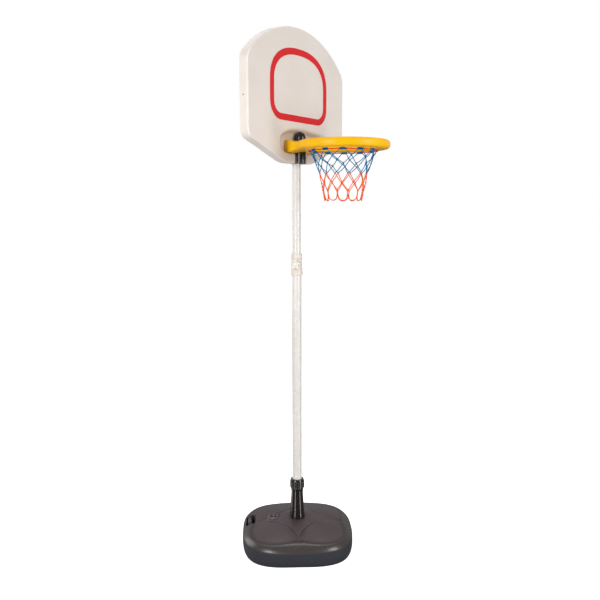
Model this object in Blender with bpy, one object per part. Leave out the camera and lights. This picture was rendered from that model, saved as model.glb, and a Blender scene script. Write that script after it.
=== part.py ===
"""Portable children's basketball hoop: water base, telescopic pole, backboard, rim and net.

Metres, +Z up. The origin is on the floor, on the pole's axis. The backboard faces -Y.
"""
import math

import bmesh
import bpy
from mathutils import Matrix, Vector

GAP = 0.0003                # between touching pieces
TAU = 2.0 * math.pi

# base tank
BASE_HALF = 0.2345          # half the width of the rounded square
BASE_SQUARENESS = 2.94       # superellipse exponent of its outline
BASE_TURN = math.radians(-53.0)
SEAM_Z = 0.0655             # moulding seam between side wall and shoulder
DOME_Z = 0.118              # top of the dome, at the pole
TANK_WALL = 0.004
WELL_R = 0.030              # well that holds the socket tube
WELL_FLOOR_Z = 0.012
CAP_PLACE = (-0.1035, 0.0175)
CAP_R = 0.0245
CAP_SEAT_Z = 0.1045         # flat land around the filler hole
FILLER_R = 0.0175
HANDLE_PLACE = (-0.2030, 0.034)
HANDLE_SIZE = (0.038, 0.094)
HANDLE_FLOOR_Z = 0.042

# socket tube and collet
SOCKET_BORE_R = 0.0206
NECK_R = 0.0243
FLARE_R = 0.0325
NUT_R = 0.0305
NUT_BOTTOM_Z = 0.250
NUT_TOP_Z = 0.290
COLLET_SEAT_Z = 0.254

# poles
LOWER_R = 0.020
UPPER_R = 0.0175
TUBE_WALL = 0.0012
LOWER_BOTTOM_Z = 0.0192
LOWER_TOP_Z = 1.185
UPPER_BOTTOM_Z = 0.830
UPPER_TOP_Z = 1.6880
COLLAR_BOTTOM_Z = 1.166
COLLAR_TOP_Z = 1.254

# clamp knob
KNOB_Z = 1.211
KNOB_TURN = math.radians(-152.5)    # direction of the knob's axis in plan, from +X
KNOB_R = 0.0210
STUD_R = 0.0038

# backboard
FRONT_Y = -0.0174
BACK_Y = 0.0250
BOARD_HALF = 0.3275
ARCH_SPRING_Z = 1.998
ARCH_TOP_Z = 2.142
CHAMFER_Z = 1.706
BOTTOM_Z = 1.618
BOTTOM_HALF = 0.093
BOARD_WALL = 0.0032
BOARD_EDGE = 0.007
POCKET_Y = 0.0018           # floor of the pocket
POCKET_Z = 1.7045
POCKET_HALF = 0.131
POCKET_RISE = 0.0530
POCKET_FOOT = 0.0515
CHANNEL_Y = -0.0100         # floor of the channel below it
CHANNEL_HALF = 0.062
VENT_Z = 1.850

# pole head
HEAD_R = 0.0218
HEAD_Y = -0.0207            # axis of the locking post in front of the tube
HEAD_BOTTOM_Z = 1.6170
HEAD_TOP_Z = 1.7440
HEAD_DOME = 0.030
HEAD_REAR_TOP_Z = 1.7035

# target outline
TARGET_Z = 1.920
TARGET_HALF = (0.195, 0.141)
TARGET_BAND = 0.0255
TARGET_CORNER = 0.070         # outer radius of the two lower corners
TARGET_THICK = 0.0005

# rim
RIM_Y = -0.2225
RIM_OUTER_R = 0.1794
RIM_INNER_R = 0.1345
RIM_BOTTOM_Z = 1.6640
RIM_TOP_Z = 1.6985
RIM_WALL = 0.0035
BRACKET_HALF = 0.079
BRACKET_SWEEP = 0.115       # radius of the hollow curve on each side of the bracket
BRACKET_BACK_Y = 0.0003
BRACKET_BOTTOM_Z = 1.6600
BRACKET_TOP_Z = 1.7060
FLANGE_Y = -0.024
SCREW_X = 0.056
SCREW_Z = 1.684
SINK_Y = 0.0212              # seat of the screw heads, sunk in the board's back

# net
NET_MESHES = 12
LACE_R = 0.1292
LACE_Z = 1.6597
LACE_CORD = 0.0020
NET_UPPER = ((1.6557, 0.1255), (1.636, 0.1165), (1.606, 0.1045), (1.5775, 0.0940))
NET_LOWER = ((1.5725, 0.0925), (1.540, 0.0865), (1.509, 0.0795), (1.467, 0.0710))
NET_STRAND = 0.0026


def skin(bm, low, high):
    """Faces between two rings of vertices."""
    for i in range(len(low)):
        bm.faces.new((low[i - 1], low[i], high[i], high[i - 1]))


def clear_scene():
    for obj in list(bpy.data.objects):
        bpy.data.objects.remove(obj)


def plastic(name, colour, roughness, metallic=0.0):
    material = bpy.data.materials.new(name)
    material.use_nodes = True
    shader = material.node_tree.nodes["Principled BSDF"]
    shader.inputs["Base Color"].default_value = (*colour, 1.0)
    shader.inputs["Roughness"].default_value = roughness
    shader.inputs["Metallic"].default_value = metallic
    return material


def empty(name, location=(0, 0, 0), rotation=(0, 0, 0)):
    obj = bpy.data.objects.new(name, None)
    obj.location = location
    obj.rotation_euler = rotation
    bpy.context.collection.objects.link(obj)
    return obj


def finish(name, bm, material, parent=None):
    """Make an object from a bmesh, with its faces pointing out and its curves shaded smooth."""
    bmesh.ops.recalc_face_normals(bm, faces=bm.faces)
    mesh = bpy.data.meshes.new(name)
    bm.to_mesh(mesh)
    bm.free()
    mesh.shade_smooth()
    mesh.set_sharp_from_angle(angle=math.radians(35.0))
    obj = bpy.data.objects.new(name, mesh)
    if material:
        mesh.materials.append(material)
    obj.parent = parent
    bpy.context.collection.objects.link(obj)
    return obj


def as_cutter(obj):
    obj.hide_render = True
    obj.display_type = "WIRE"
    return obj


def boolean(obj, other, operation="DIFFERENCE"):
    modifier = obj.modifiers.new(other.name, "BOOLEAN")
    modifier.object = other
    modifier.operation = operation
    modifier.solver = "EXACT"


def turned_mesh(profile, steps=32):
    """Turn a closed profile of (radius, height) points about Z."""
    bm = bmesh.new()
    verts = [bm.verts.new((r, 0.0, z)) for r, z in profile]
    edges = [bm.edges.new(pair) for pair in zip(verts, verts[1:] + verts[:1])
             if pair[0].co.x > 1e-6 or pair[1].co.x > 1e-6]
    bmesh.ops.spin(bm, geom=verts + edges, cent=(0, 0, 0), axis=(0, 0, 1), angle=TAU,
                   steps=steps, use_merge=True, use_duplicate=False)
    bmesh.ops.remove_doubles(bm, verts=bm.verts, dist=1e-5)
    return bm


def turned(name, profile, material, parent=None, steps=32, twist=0.0):
    """A turned object; twist is where its first facet starts, in degrees."""
    bm = turned_mesh(profile, steps)
    turn = Matrix.Rotation(math.radians(twist), 3, "Z")
    bmesh.ops.rotate(bm, verts=bm.verts, cent=(0, 0, 0), matrix=turn)
    return finish(name, bm, material, parent)


def prism_mesh(outline, low, high, bevel=0.0, segments=2):
    """Extrude a plan outline of (x, y) points from low to high along Z, edges rounded by bevel."""
    bm = bmesh.new()
    face = bm.faces.new([bm.verts.new((x, y, low)) for x, y in outline])
    top = bmesh.ops.extrude_face_region(bm, geom=[face])["geom"]
    bmesh.ops.translate(bm, verts=[v for v in top if isinstance(v, bmesh.types.BMVert)],
                        vec=(0, 0, high - low))
    if bevel:
        rim = [e for e in bm.edges if abs(e.verts[0].co.z - e.verts[1].co.z) < 1e-7]
        bmesh.ops.bevel(bm, geom=rim, offset=bevel, segments=segments, profile=0.5,
                        affect="EDGES", clamp_overlap=True)
    return bm


def stand_up(bm):
    """Turn a plan drawn in X and Y, extruded along Z, into one drawn in X and Z, along -Y."""
    turn = Matrix.Rotation(math.pi / 2, 3, "X")
    bmesh.ops.rotate(bm, verts=bm.verts, cent=(0, 0, 0), matrix=turn)
    return bm


def arc(centre, radius, start, end, count):
    """Points on an arc, from start to end in degrees."""
    angles = [math.radians(start + (end - start) * i / count) for i in range(count + 1)]
    return [(centre[0] + radius * math.cos(a), centre[1] + radius * math.sin(a)) for a in angles]


def fillet(points, radii, count=4):
    """Round the corners of a closed outline; radii has one radius for each corner."""
    out = []
    total = len(points)
    for i, radius in enumerate(radii):
        here = Vector(points[i])
        back = Vector(points[i - 1]) - here
        ahead = Vector(points[(i + 1) % total]) - here
        if radius <= 0.0:
            out.append(tuple(here))
            continue
        half = back.angle(ahead) / 2.0
        reach = radius / math.tan(half)
        start = here + back.normalized() * reach
        stop = here + ahead.normalized() * reach
        inward = (back.normalized() + ahead.normalized()).normalized()
        centre = here + inward * (radius / math.sin(half))
        for k in range(count + 1):
            spoke = (start - centre).lerp(stop - centre, k / count)
            out.append(tuple(centre + spoke.normalized() * radius))
    return out


# ---------------------------------------------------------------- base tank

def outline_radius(angle, half):
    n = BASE_SQUARENESS
    return half / (abs(math.cos(angle)) ** n + abs(math.sin(angle)) ** n) ** (1.0 / n)


def tank_loft(inset, steps):
    """The tank's outer form, or its hollow when inset is the wall's thickness."""
    profile = ((0.930, 0.0), (0.968, 0.004), (0.988, 0.012), (1.0, 0.030), (1.0, SEAM_Z),
               (0.990, 0.0715), (0.965, 0.0775), (0.91, 0.083), (0.75, 0.092), (0.52, 0.103),
               (0.30, 0.113), (0.20, DOME_Z))
    bm = bmesh.new()
    rings = []
    for scale, z in profile:
        height = min(max(z, inset), z - inset if z > SEAM_Z / 2 else z + inset)
        ring = []
        for i in range(steps):
            angle = TAU * i / steps
            radius = outline_radius(angle, BASE_HALF) * scale - inset
            ring.append(bm.verts.new((radius * math.cos(angle), radius * math.sin(angle), height)))
        rings.append(ring)
    for low, high in zip(rings, rings[1:]):
        skin(bm, low, high)
    bm.faces.new(rings[0])
    bm.faces.new(rings[-1])
    return bm


def handle_mesh(grow):
    """The hand recess near the rim, open at the top."""
    length, width = HANDLE_SIZE
    x0, x1 = HANDLE_PLACE[0] - length / 2 - grow, HANDLE_PLACE[0] + length / 2 + grow
    y0, y1 = HANDLE_PLACE[1] - width / 2 - grow, HANDLE_PLACE[1] + width / 2 + grow
    outline = fillet([(x0, y0), (x1, y0), (x1, y1), (x0, y1)], [0.010 + grow] * 4)
    return prism_mesh(outline, HANDLE_FLOOR_Z - grow, DOME_Z + 0.02)


def column(name, radius, low, high, parent, twist=0.0, steps=32):
    """Upright round cutter."""
    profile = [(0, low), (radius, low), (radius, high), (0, high)]
    return as_cutter(turned(name, profile, None, parent, steps, twist))


def make_base(black, parent):
    above = DOME_Z + 0.03
    hollow = as_cutter(finish("tank_hollow", tank_loft(TANK_WALL, 32), None, parent))
    boolean(hollow, column("well_post", WELL_R + TANK_WALL, -0.01, above, parent, 3.0))
    boolean(hollow, as_cutter(finish("handle_guard", handle_mesh(TANK_WALL), None, parent)))

    tank = finish("base_tank", tank_loft(0.0, 56), black, parent)
    place = (*CAP_PLACE, 0.0)
    pad_guard = column("pad_guard", CAP_R + 0.009, CAP_SEAT_Z - 0.014, above, parent, 2.0)
    boolean(hollow, pad_guard)
    boolean(tank, hollow)
    pad = column("cap_pad", CAP_R + 0.005, CAP_SEAT_Z - 0.010, CAP_SEAT_Z + 0.003, parent, 4.0)
    boolean(tank, pad, "UNION")
    land = column("cap_land", CAP_R + 0.007, CAP_SEAT_Z, above, parent, 6.0)
    boolean(tank, land)
    boolean(tank, column("pole_well", WELL_R, WELL_FLOOR_Z, above, parent, 5.0))
    boolean(tank, as_cutter(finish("handle_recess", handle_mesh(0.0), None, parent)))
    filler = column("filler_hole", FILLER_R, 0.060, above, parent, 8.0)
    boolean(tank, filler)
    for cutter in (pad_guard, pad, land, filler):
        cutter.location = place


def make_filler_cap(black, rubber, parent):
    """Screw cap with four finger scoops, its sealing ring under the rim."""
    axis = empty("cap_axis", (*CAP_PLACE, 0.0))
    axis.parent = parent
    seat = CAP_SEAT_Z + GAP
    turned("cap_gasket", [(FILLER_R + 0.0005, seat), (CAP_R - 0.001, seat),
                          (CAP_R - 0.001, seat + 0.0015), (FILLER_R + 0.0005, seat + 0.0015)],
           rubber, axis, 32)
    under = seat + 0.0015 + GAP
    plug_r = FILLER_R - 0.0004
    profile = [(0, under + 0.001), (plug_r - 0.003, under + 0.001), (plug_r - 0.003, under - 0.012),
               (plug_r, under - 0.012), (plug_r, under), (CAP_R, under), (CAP_R, under + 0.0045),
               (CAP_R - 0.002, under + 0.0068), (0, under + 0.0080)]
    cap = turned("filler_cap", profile, black, axis, 40)
    for i in range(4):
        angle = TAU * (i + 0.5) / 4
        hollow = [(0, under + 0.0035), (0.0045, under + 0.0035), (0.0058, under + 0.02),
                  (0, under + 0.02)]
        scoop = as_cutter(turned("cap_scoop_%d" % i, hollow, None, axis, 16))
        scoop.location = (0.0125 * math.cos(angle), 0.0125 * math.sin(angle), 0)
        boolean(cap, scoop)


# ---------------------------------------------------------------- socket and collet

def make_socket(gloss, parent):
    low = WELL_FLOOR_Z + GAP
    thread_r = NUT_R - 0.0045
    thread_top = NUT_TOP_Z - 0.012
    collar = NUT_BOTTOM_Z - 0.001
    profile = [(0, low), (WELL_R - GAP, low), (WELL_R - GAP, DOME_Z + 0.0005),
               (FLARE_R - 0.001, DOME_Z + 0.0005), (FLARE_R, DOME_Z + 0.003),
               (FLARE_R - 0.0012, 0.128), (0.0296, 0.140), (0.0278, 0.163), (0.0260, 0.192),
               (NECK_R, 0.222), (0.0247, collar - 0.012), (0.0264, collar - 0.005), (0.0266, collar),
               (thread_r, collar + 0.0005), (thread_r, thread_top), (0.0236, thread_top),
               (0.0236, COLLET_SEAT_Z), (SOCKET_BORE_R, COLLET_SEAT_Z - 0.003),
               (SOCKET_BORE_R, low + 0.003), (0, low + 0.003)]
    turned("socket_tube", profile, gloss, parent)


def make_collet(black, gloss):
    """Split sleeve that grips the pole, and the ribbed nut that squeezes it."""
    bore = LOWER_R + GAP
    shoulder = NUT_TOP_Z - 0.0116
    top = NUT_TOP_Z - 0.0080
    sleeve = turned("collet_sleeve", [(bore, COLLET_SEAT_Z), (0.0232, COLLET_SEAT_Z),
                                      (0.0232, shoulder), (0.0257, shoulder), (0.0257, top),
                                      (bore, top)], black)
    for i in range(4):
        kerf = prism_mesh([(0.015, -0.001), (0.030, -0.001), (0.030, 0.001), (0.015, 0.001)],
                          COLLET_SEAT_Z - 0.01, shoulder - 0.004)
        slot = as_cutter(finish("collet_slot_%d" % i, kerf, None))
        slot.rotation_euler = (0, 0, TAU * (i + 0.5) / 4)
        boolean(sleeve, slot)
    nut_bore = NUT_R - 0.0042
    profile = [(nut_bore, NUT_BOTTOM_Z), (NUT_R - 0.001, NUT_BOTTOM_Z),
               (NUT_R, NUT_BOTTOM_Z + 0.003), (NUT_R, NUT_TOP_Z - 0.012),
               (NUT_R - 0.0030, NUT_TOP_Z - 0.002), (NUT_R - 0.0045, NUT_TOP_Z),
               (LOWER_R + 0.0022, NUT_TOP_Z), (LOWER_R + 0.0006, NUT_TOP_Z - 0.003),
               (LOWER_R + 0.0006, NUT_TOP_Z - 0.0072), (nut_bore, NUT_TOP_Z - 0.0072)]
    nut = turned("collet_nut", profile, gloss)
    for i in range(12):
        flute = [(0, NUT_BOTTOM_Z - 0.005), (0.0024, NUT_BOTTOM_Z - 0.005),
                 (0.0024, NUT_TOP_Z - 0.015), (0, NUT_TOP_Z - 0.012)]
        groove = as_cutter(turned("nut_groove_%02d" % i, flute, None, None, 10))
        angle = TAU * (i + 0.06) / 12
        reach = NUT_R + 0.0014
        groove.location = (reach * math.cos(angle), reach * math.sin(angle), 0)
        boolean(nut, groove)


# ---------------------------------------------------------------- poles and clamp

def make_tube(name, radius, low, high, paint, parent):
    inner = radius - TUBE_WALL
    turned(name, [(inner, low), (radius, low), (radius, high), (inner, high)], paint, parent)


def make_plug(name, radius, inner, low, high, black, parent):
    """Moulded plug: a flange of the tube's size below the tube's end, a hollow spigot inside."""
    spigot = inner - GAP
    turned(name, [(0, low), (radius, low), (radius, high), (spigot, high), (spigot, high + 0.020),
                  (spigot - 0.003, high + 0.020), (spigot - 0.003, high + 0.002), (0, high + 0.002)],
           black, parent, 32)


def make_collar(cream, steel, black, parent):
    """Clamp collar on the lower tube, with the captive nut and the star knob's stud."""
    outside = [(0.0246, COLLAR_BOTTOM_Z), (0.0250, COLLAR_BOTTOM_Z + 0.006),
               (0.0238, COLLAR_BOTTOM_Z + 0.020), (0.0226, COLLAR_BOTTOM_Z + 0.030),
               (0.0224, COLLAR_TOP_Z - 0.018), (0.0233, COLLAR_TOP_Z - 0.013),
               (0.0235, COLLAR_TOP_Z - 0.002), (0.0225, COLLAR_TOP_Z)]
    body = [(0, COLLAR_BOTTOM_Z)] + outside + [(0, COLLAR_TOP_Z)]
    collar = turned("clamp_collar", body, cream, parent)
    axis = empty("knob_axis", (0, 0, KNOB_Z), (0, math.pi / 2, KNOB_TURN))
    axis.parent = parent
    boss = as_cutter(turned("knob_boss", [(0, 0.004), (0.0125, 0.004), (0.0115, 0.0272),
                                          (0.0105, 0.0285), (0, 0.0285)], None, axis, 32))
    boolean(collar, boss, "UNION")
    step = LOWER_TOP_Z + GAP
    bore = [(0, 1.10), (LOWER_R + GAP, 1.10), (LOWER_R + GAP, step), (UPPER_R + GAP, step + 0.0017),
            (UPPER_R + GAP, 1.30), (0, 1.30)]
    boolean(collar, as_cutter(turned("collar_bore", bore, None, parent, twist=3.0)))
    nut_low, nut_high = 0.0186, 0.0246
    hexagon = prism_mesh(arc((0, 0), 0.0078, 0, 300, 5), 0.010, nut_high + GAP)
    boolean(collar, as_cutter(finish("nut_pocket", hexagon, None, axis)))
    stud_hole = column("stud_hole", STUD_R + 0.0004, 0.010, 0.040, axis, 0.0, 24)
    boolean(collar, stud_hole)
    hexagon = prism_mesh(arc((0, 0), 0.0073, 0, 300, 5), nut_low, nut_high)
    nut = finish("clamp_nut", hexagon, steel, axis)
    boolean(nut, stud_hole)

    turned("clamp_stud", [(0, 0.0180), (STUD_R - 0.001, 0.0180), (STUD_R, 0.0190),
                          (STUD_R, 0.0420), (0, 0.0420)], steel, axis, 20)
    lobes = 5
    outline = []
    for i in range(lobes * 8):
        angle = TAU * i / (lobes * 8)
        radius = KNOB_R - 0.0028 + 0.0028 * math.cos(lobes * angle)
        outline.append((radius * math.cos(angle), radius * math.sin(angle)))
    knob = finish("star_knob", prism_mesh(outline, 0.0335, 0.0475, 0.0025, 2), cream, axis)
    neck = as_cutter(turned("knob_neck", [(0, 0.0290), (0.0095, 0.0290), (0.0110, 0.0345),
                                          (0, 0.0345)], None, axis, 24))
    boolean(knob, neck, "UNION")
    boolean(knob, column("stud_seat", STUD_R + GAP, 0.020, 0.0423, axis, 0.0, 24))


def make_head(gloss, parent):
    """Black moulding on the upper tube's end: a tube socket, and a locking post in front of it."""
    dome = [(HEAD_R * math.cos(a), HEAD_TOP_Z - HEAD_DOME + HEAD_DOME * math.sin(a))
            for a in [math.pi / 2 * i / 8 for i in range(8)]]
    post = [(0, HEAD_BOTTOM_Z), (HEAD_R, HEAD_BOTTOM_Z)] + dome + [(0, HEAD_TOP_Z)]
    head = turned("pole_head", post, gloss, parent)
    head.location = (0, HEAD_Y, 0)
    rear = arc((0, 0), HEAD_R, 0, 180, 16) + [(-HEAD_R, HEAD_Y), (HEAD_R, HEAD_Y)]
    web = prism_mesh(rear, HEAD_BOTTOM_Z, HEAD_REAR_TOP_Z)
    boolean(head, as_cutter(finish("head_rear", web, None, parent)), "UNION")
    boolean(head, column("head_bore", UPPER_R + GAP, 1.60, UPPER_TOP_Z + GAP, parent))


# ---------------------------------------------------------------- backboard

def board_outline(inset, count):
    """Front outline of the board in X and Z: arched top, straight sides, chamfered foot."""
    rise = ARCH_TOP_Z - ARCH_SPRING_Z
    radius = (BOARD_HALF ** 2 + rise ** 2) / (2 * rise)
    centre_z = ARCH_TOP_Z - radius
    spring = math.degrees(math.asin((ARCH_SPRING_Z - centre_z) / radius))
    corners = [(-BOTTOM_HALF, BOTTOM_Z), (BOTTOM_HALF, BOTTOM_Z), (BOARD_HALF, CHAMFER_Z)]
    arch = arc((0, centre_z), radius, spring, 180 - spring, count)
    points = corners + arch + [(-BOARD_HALF, CHAMFER_Z)]
    radii = [0.020, 0.020, 0.030, 0.060] + [0.0] * (count - 1) + [0.060, 0.030]
    rounded = fillet(points, radii)
    if inset:
        bm = bmesh.new()
        face = bm.faces.new([bm.verts.new((x, z, 0)) for x, z in rounded])
        face.normal_update()
        bmesh.ops.inset_individual(bm, faces=[face], thickness=inset, use_even_offset=True)
        rounded = [(v.co.x, v.co.y) for v in face.verts]
        bm.free()
    return rounded


def board_solid(name, inset, front, back, material, parent, count=20, edge=0.0):
    bm = stand_up(prism_mesh(board_outline(inset, count), -back, -front, edge, 2))
    return finish(name, bm, material, parent)


def pocket_loop(bm, grow, y):
    """One level of the pocket: an elliptical arch above, a squarer sweep below."""
    ring = []
    for i in range(40):
        angle = TAU * i / 40
        x, z = math.cos(angle), math.sin(angle)
        power = 4.0 if z < 0 else 2.0
        half_z = POCKET_FOOT + 0.15 * grow if z < 0 else POCKET_RISE + grow
        scale = 1.0 / (abs(x) ** power + abs(z) ** power) ** (1.0 / power)
        ring.append(bm.verts.new((x * scale * (POCKET_HALF + grow), y, POCKET_Z + z * scale * half_z)))
    return ring


def pocket_mesh(grow):
    bm = bmesh.new()
    levels = [(0.006, FRONT_Y - 0.008), (0.002, FRONT_Y + 0.0015), (-0.003, FRONT_Y + 0.006),
              (-0.010, POCKET_Y - 0.004), (-0.016, POCKET_Y)]
    levels = [(size + grow, y + (grow if y == POCKET_Y else 0.0)) for size, y in levels]
    rings = [pocket_loop(bm, size, y) for size, y in levels]
    for low, high in zip(rings, rings[1:]):
        skin(bm, low, high)
    bm.faces.new(rings[0])
    bm.faces.new(rings[-1])
    return bm


def channel_mesh(grow):
    """Shallow channel from the pocket down to the board's foot."""
    front = CHANNEL_HALF + grow
    floor = CHANNEL_HALF - 0.014 + grow
    section = [(-front - 0.004, FRONT_Y - 0.008), (front + 0.004, FRONT_Y - 0.008),
               (front - 0.001, FRONT_Y + 0.001), (front - 0.006, FRONT_Y + 0.0045),
               (floor, CHANNEL_Y + grow), (-floor, CHANNEL_Y + grow),
               (-front + 0.006, FRONT_Y + 0.0045), (-front + 0.001, FRONT_Y + 0.001)]
    return prism_mesh(section, BOTTOM_Z - 0.02, POCKET_Z)


def slot_mesh(grow):
    """Deep slot behind the channel, which takes the rear of the pole head."""
    radius = HEAD_R + GAP + grow
    outline = arc((0, 0), radius, 0, 180, 16) + [(-radius, HEAD_Y), (radius, HEAD_Y)]
    return prism_mesh(outline, BOTTOM_Z - 0.02, HEAD_REAR_TOP_Z + 0.0006 + grow)


def screw_columns(radius, low_y, high_y, tag, twist=0.0):
    """Round cutters along Y at the two screw places."""
    made = []
    for side in (-1, 1):
        cutter = column("%s_%d" % (tag, side), radius, low_y, high_y, None, twist, 24)
        cutter.location = (side * SCREW_X, 0, SCREW_Z)
        cutter.rotation_euler = (-math.pi / 2, 0, 0)
        made.append(cutter)
    return made


def make_board(white, parent):
    hollow = as_cutter(board_solid("board_hollow", BOARD_WALL, FRONT_Y + BOARD_WALL,
                                   BACK_Y - BOARD_WALL, None, parent, 13))
    recesses = (("pocket", pocket_mesh), ("channel", channel_mesh), ("slot", slot_mesh))
    for name, maker in recesses:
        guard = finish(name + "_guard", maker(BOARD_WALL), None, parent)
        boolean(hollow, as_cutter(guard))
    for tack in screw_columns(0.0100, -0.030, 0.030, "tack_off", 8.0):
        boolean(hollow, tack)
    board = board_solid("backboard", 0.0, FRONT_Y, BACK_Y, white, parent, 24, BOARD_EDGE)
    boolean(board, hollow)
    for name, maker in recesses:
        boolean(board, as_cutter(finish("board_" + name, maker(0.0), None, parent)))
    holes = screw_columns(0.0030, -0.050, 0.050, "screw_hole", 2.0)
    sinks = screw_columns(0.0072, SINK_Y, 0.050, "screw_sink", 5.0)
    for cutter in holes + sinks:
        boolean(board, cutter)
    vent = column("vent_hole", 0.0025, BOARD_HALF - 0.02, BOARD_HALF + 0.02, parent, 7.0, 12)
    vent.location = (0, (FRONT_Y + BACK_Y) / 2, VENT_Z)
    vent.rotation_euler = (0, -math.pi / 2, 0)
    boolean(board, vent)


def target_loop(bm, band, y):
    """Loop set in by part of the band: a domed top, straight sides, round lower corners."""
    half_x, half_z = TARGET_HALF[0] - band, TARGET_HALF[1] - band
    power = 2.4
    loop = []
    for i in range(33):
        x, z = math.cos(math.pi * i / 32), math.sin(math.pi * i / 32)
        scale = 1.0 / (abs(x) ** power + abs(z) ** power) ** (1.0 / power)
        loop.append((x * scale * half_x, z * scale * half_z))
    radius = TARGET_CORNER - band
    loop += arc((radius - half_x, radius - half_z), radius, 180, 270, 9)
    loop += arc((half_x - radius, radius - half_z), radius, 270, 360, 9)
    return [bm.verts.new((x, y, TARGET_Z + z)) for x, z in loop]


def make_target(red, parent):
    """Printed target outline, as a thin closed band on the board's face."""
    back = FRONT_Y - GAP
    front = back - TARGET_THICK
    bm = bmesh.new()
    rings = []
    for band, y in ((0.0, back), (0.0, front), (TARGET_BAND, front), (TARGET_BAND, back)):
        rings.append(target_loop(bm, band, y))
    for low, high in zip(rings, rings[1:] + rings[:1]):
        skin(bm, low, high)
    finish("target_outline", bm, red, parent)


# ---------------------------------------------------------------- rim and net

def rim_section(mid_r, mid_z, half_w, half_h, count):
    """Squarish rounded section of the rim."""
    power = 3.2
    section = []
    for i in range(count):
        angle = TAU * (i + 0.5) / count
        x, z = math.cos(angle), math.sin(angle)
        scale = 1.0 / (abs(x) ** power + abs(z) ** power) ** (1.0 / power)
        section.append((mid_r + x * scale * half_w, mid_z + z * scale * half_h))
    return section


def make_rim(yellow, parent):
    """Round rim of flattened section, with a square bracket that sits in the board's pocket."""
    mid_r = (RIM_OUTER_R + RIM_INNER_R) / 2
    mid_z = (RIM_TOP_Z + RIM_BOTTOM_Z) / 2
    half_w = (RIM_OUTER_R - RIM_INNER_R) / 2
    half_h = (RIM_TOP_Z - RIM_BOTTOM_Z) / 2
    rim = turned("rim", rim_section(mid_r, mid_z, half_w, half_h, 12), yellow, parent, 48)
    rim.location = (0, RIM_Y, 0)
    hollow = turned("rim_hollow", rim_section(mid_r, mid_z, half_w - RIM_WALL, half_h - RIM_WALL, 8),
                    None, parent, 34, 3.0)
    hollow.location = rim.location
    drain = column("rim_drain", 0.002, RIM_BOTTOM_Z - 0.02, mid_z, parent, 0.0, 10)
    drain.location = (0, RIM_Y + mid_r, 0)

    # each side of the bracket is one hollow curve that runs into the outside of the ring
    curve_x = BRACKET_HALF + BRACKET_SWEEP
    meet_r = RIM_OUTER_R - 0.003
    rise = math.sqrt((meet_r + BRACKET_SWEEP) ** 2 - curve_x ** 2)
    turn = math.degrees(math.atan2(rise, curve_x))
    side = [(BRACKET_HALF, BRACKET_BACK_Y)]
    side += arc((curve_x, RIM_Y + rise), BRACKET_SWEEP, 180, 180 + turn, 9)
    inner = arc((0, RIM_Y), mid_r, 57, 123, 12)
    outline = side + inner + [(-x, y) for x, y in reversed(side)]
    bracket = prism_mesh(outline, RIM_BOTTOM_Z + 0.001, RIM_TOP_Z - 0.001, 0.003)
    boolean(rim, as_cutter(finish("bracket", bracket, None, parent)), "UNION")
    flange = prism_mesh([(-BRACKET_HALF, BRACKET_BACK_Y), (BRACKET_HALF, BRACKET_BACK_Y),
                         (BRACKET_HALF, FLANGE_Y), (-BRACKET_HALF, FLANGE_Y)],
                        BRACKET_BOTTOM_Z, BRACKET_TOP_Z, 0.003)
    boolean(rim, as_cutter(finish("bracket_flange", flange, None, parent)), "UNION")
    post = HEAD_R + 0.0004
    eye = arc((0, HEAD_Y), post, 180, 360, 20) + [(post, 0.01), (-post, 0.01)]
    boolean(rim, as_cutter(finish("post_eye", prism_mesh(eye, 1.60, 1.80), None, parent)))
    for pilot in screw_columns(0.0026, -0.024, 0.010, "pilot_hole", 4.0):
        boolean(rim, pilot)
    boolean(rim, as_cutter(hollow))
    boolean(rim, as_cutter(drain))


def make_rim_screws(steel, parent):
    """Pan-head screws through the board's tack-offs into the bracket, each on a washer."""
    for side, tag in ((-1, "left"), (1, "right")):
        axis = empty("screw_axis_" + tag, (side * SCREW_X, 0, SCREW_Z), (-math.pi / 2, 0, 0))
        axis.parent = parent
        seat = SINK_Y + GAP
        under = seat + 0.0009 + GAP
        turned("rim_screw_" + tag, [(0, -0.0200), (0.0012, -0.0200), (0.0022, -0.0170),
                                    (0.0022, under), (0.0046, under), (0.0046, under + 0.0015),
                                    (0.0030, under + 0.0023), (0, under + 0.0025)],
               steel, axis, 20)
        turned("rim_washer_" + tag, [(0.0026, seat), (0.0066, seat), (0.0066, seat + 0.0009),
                                     (0.0026, seat + 0.0009)], steel, axis, 24)


def net_lattice(name, levels, material, parent):
    """Diamond mesh between level circles, each circle's knots half a mesh on from the last."""
    bm = bmesh.new()
    rings = []
    for row, (z, radius) in enumerate(levels):
        ring = []
        for i in range(NET_MESHES):
            angle = TAU * (i + 0.5 * (row % 2)) / NET_MESHES
            ring.append(bm.verts.new((radius * math.cos(angle), RIM_Y + radius * math.sin(angle), z)))
        rings.append(ring)
    last = len(rings) - 1
    for i in range(NET_MESHES):
        for row in range(last - 1):
            left = rings[row + 1][i - 1 + row % 2]
            right = rings[row + 1][(i + row % 2) % NET_MESHES]
            bm.faces.new((rings[row][i], left, rings[row + 2][i], right))
        bm.faces.new((rings[0][i], rings[1][i], rings[0][(i + 1) % NET_MESHES]))
        below = rings[last - 1][(i + last % 2) % NET_MESHES]
        bm.faces.new((below, rings[last][i], rings[last][(i + 1) % NET_MESHES]))
    bmesh.ops.recalc_face_normals(bm, faces=bm.faces)
    holes = list(bm.faces)
    bmesh.ops.inset_individual(bm, faces=holes, thickness=NET_STRAND / 2, use_even_offset=True)
    bmesh.ops.delete(bm, geom=holes, context="FACES_ONLY")
    obj = finish(name, bm, material, parent)
    strands = obj.modifiers.new("strands", "SOLIDIFY")
    strands.thickness = NET_STRAND
    strands.offset = 0.0
    return obj


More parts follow.
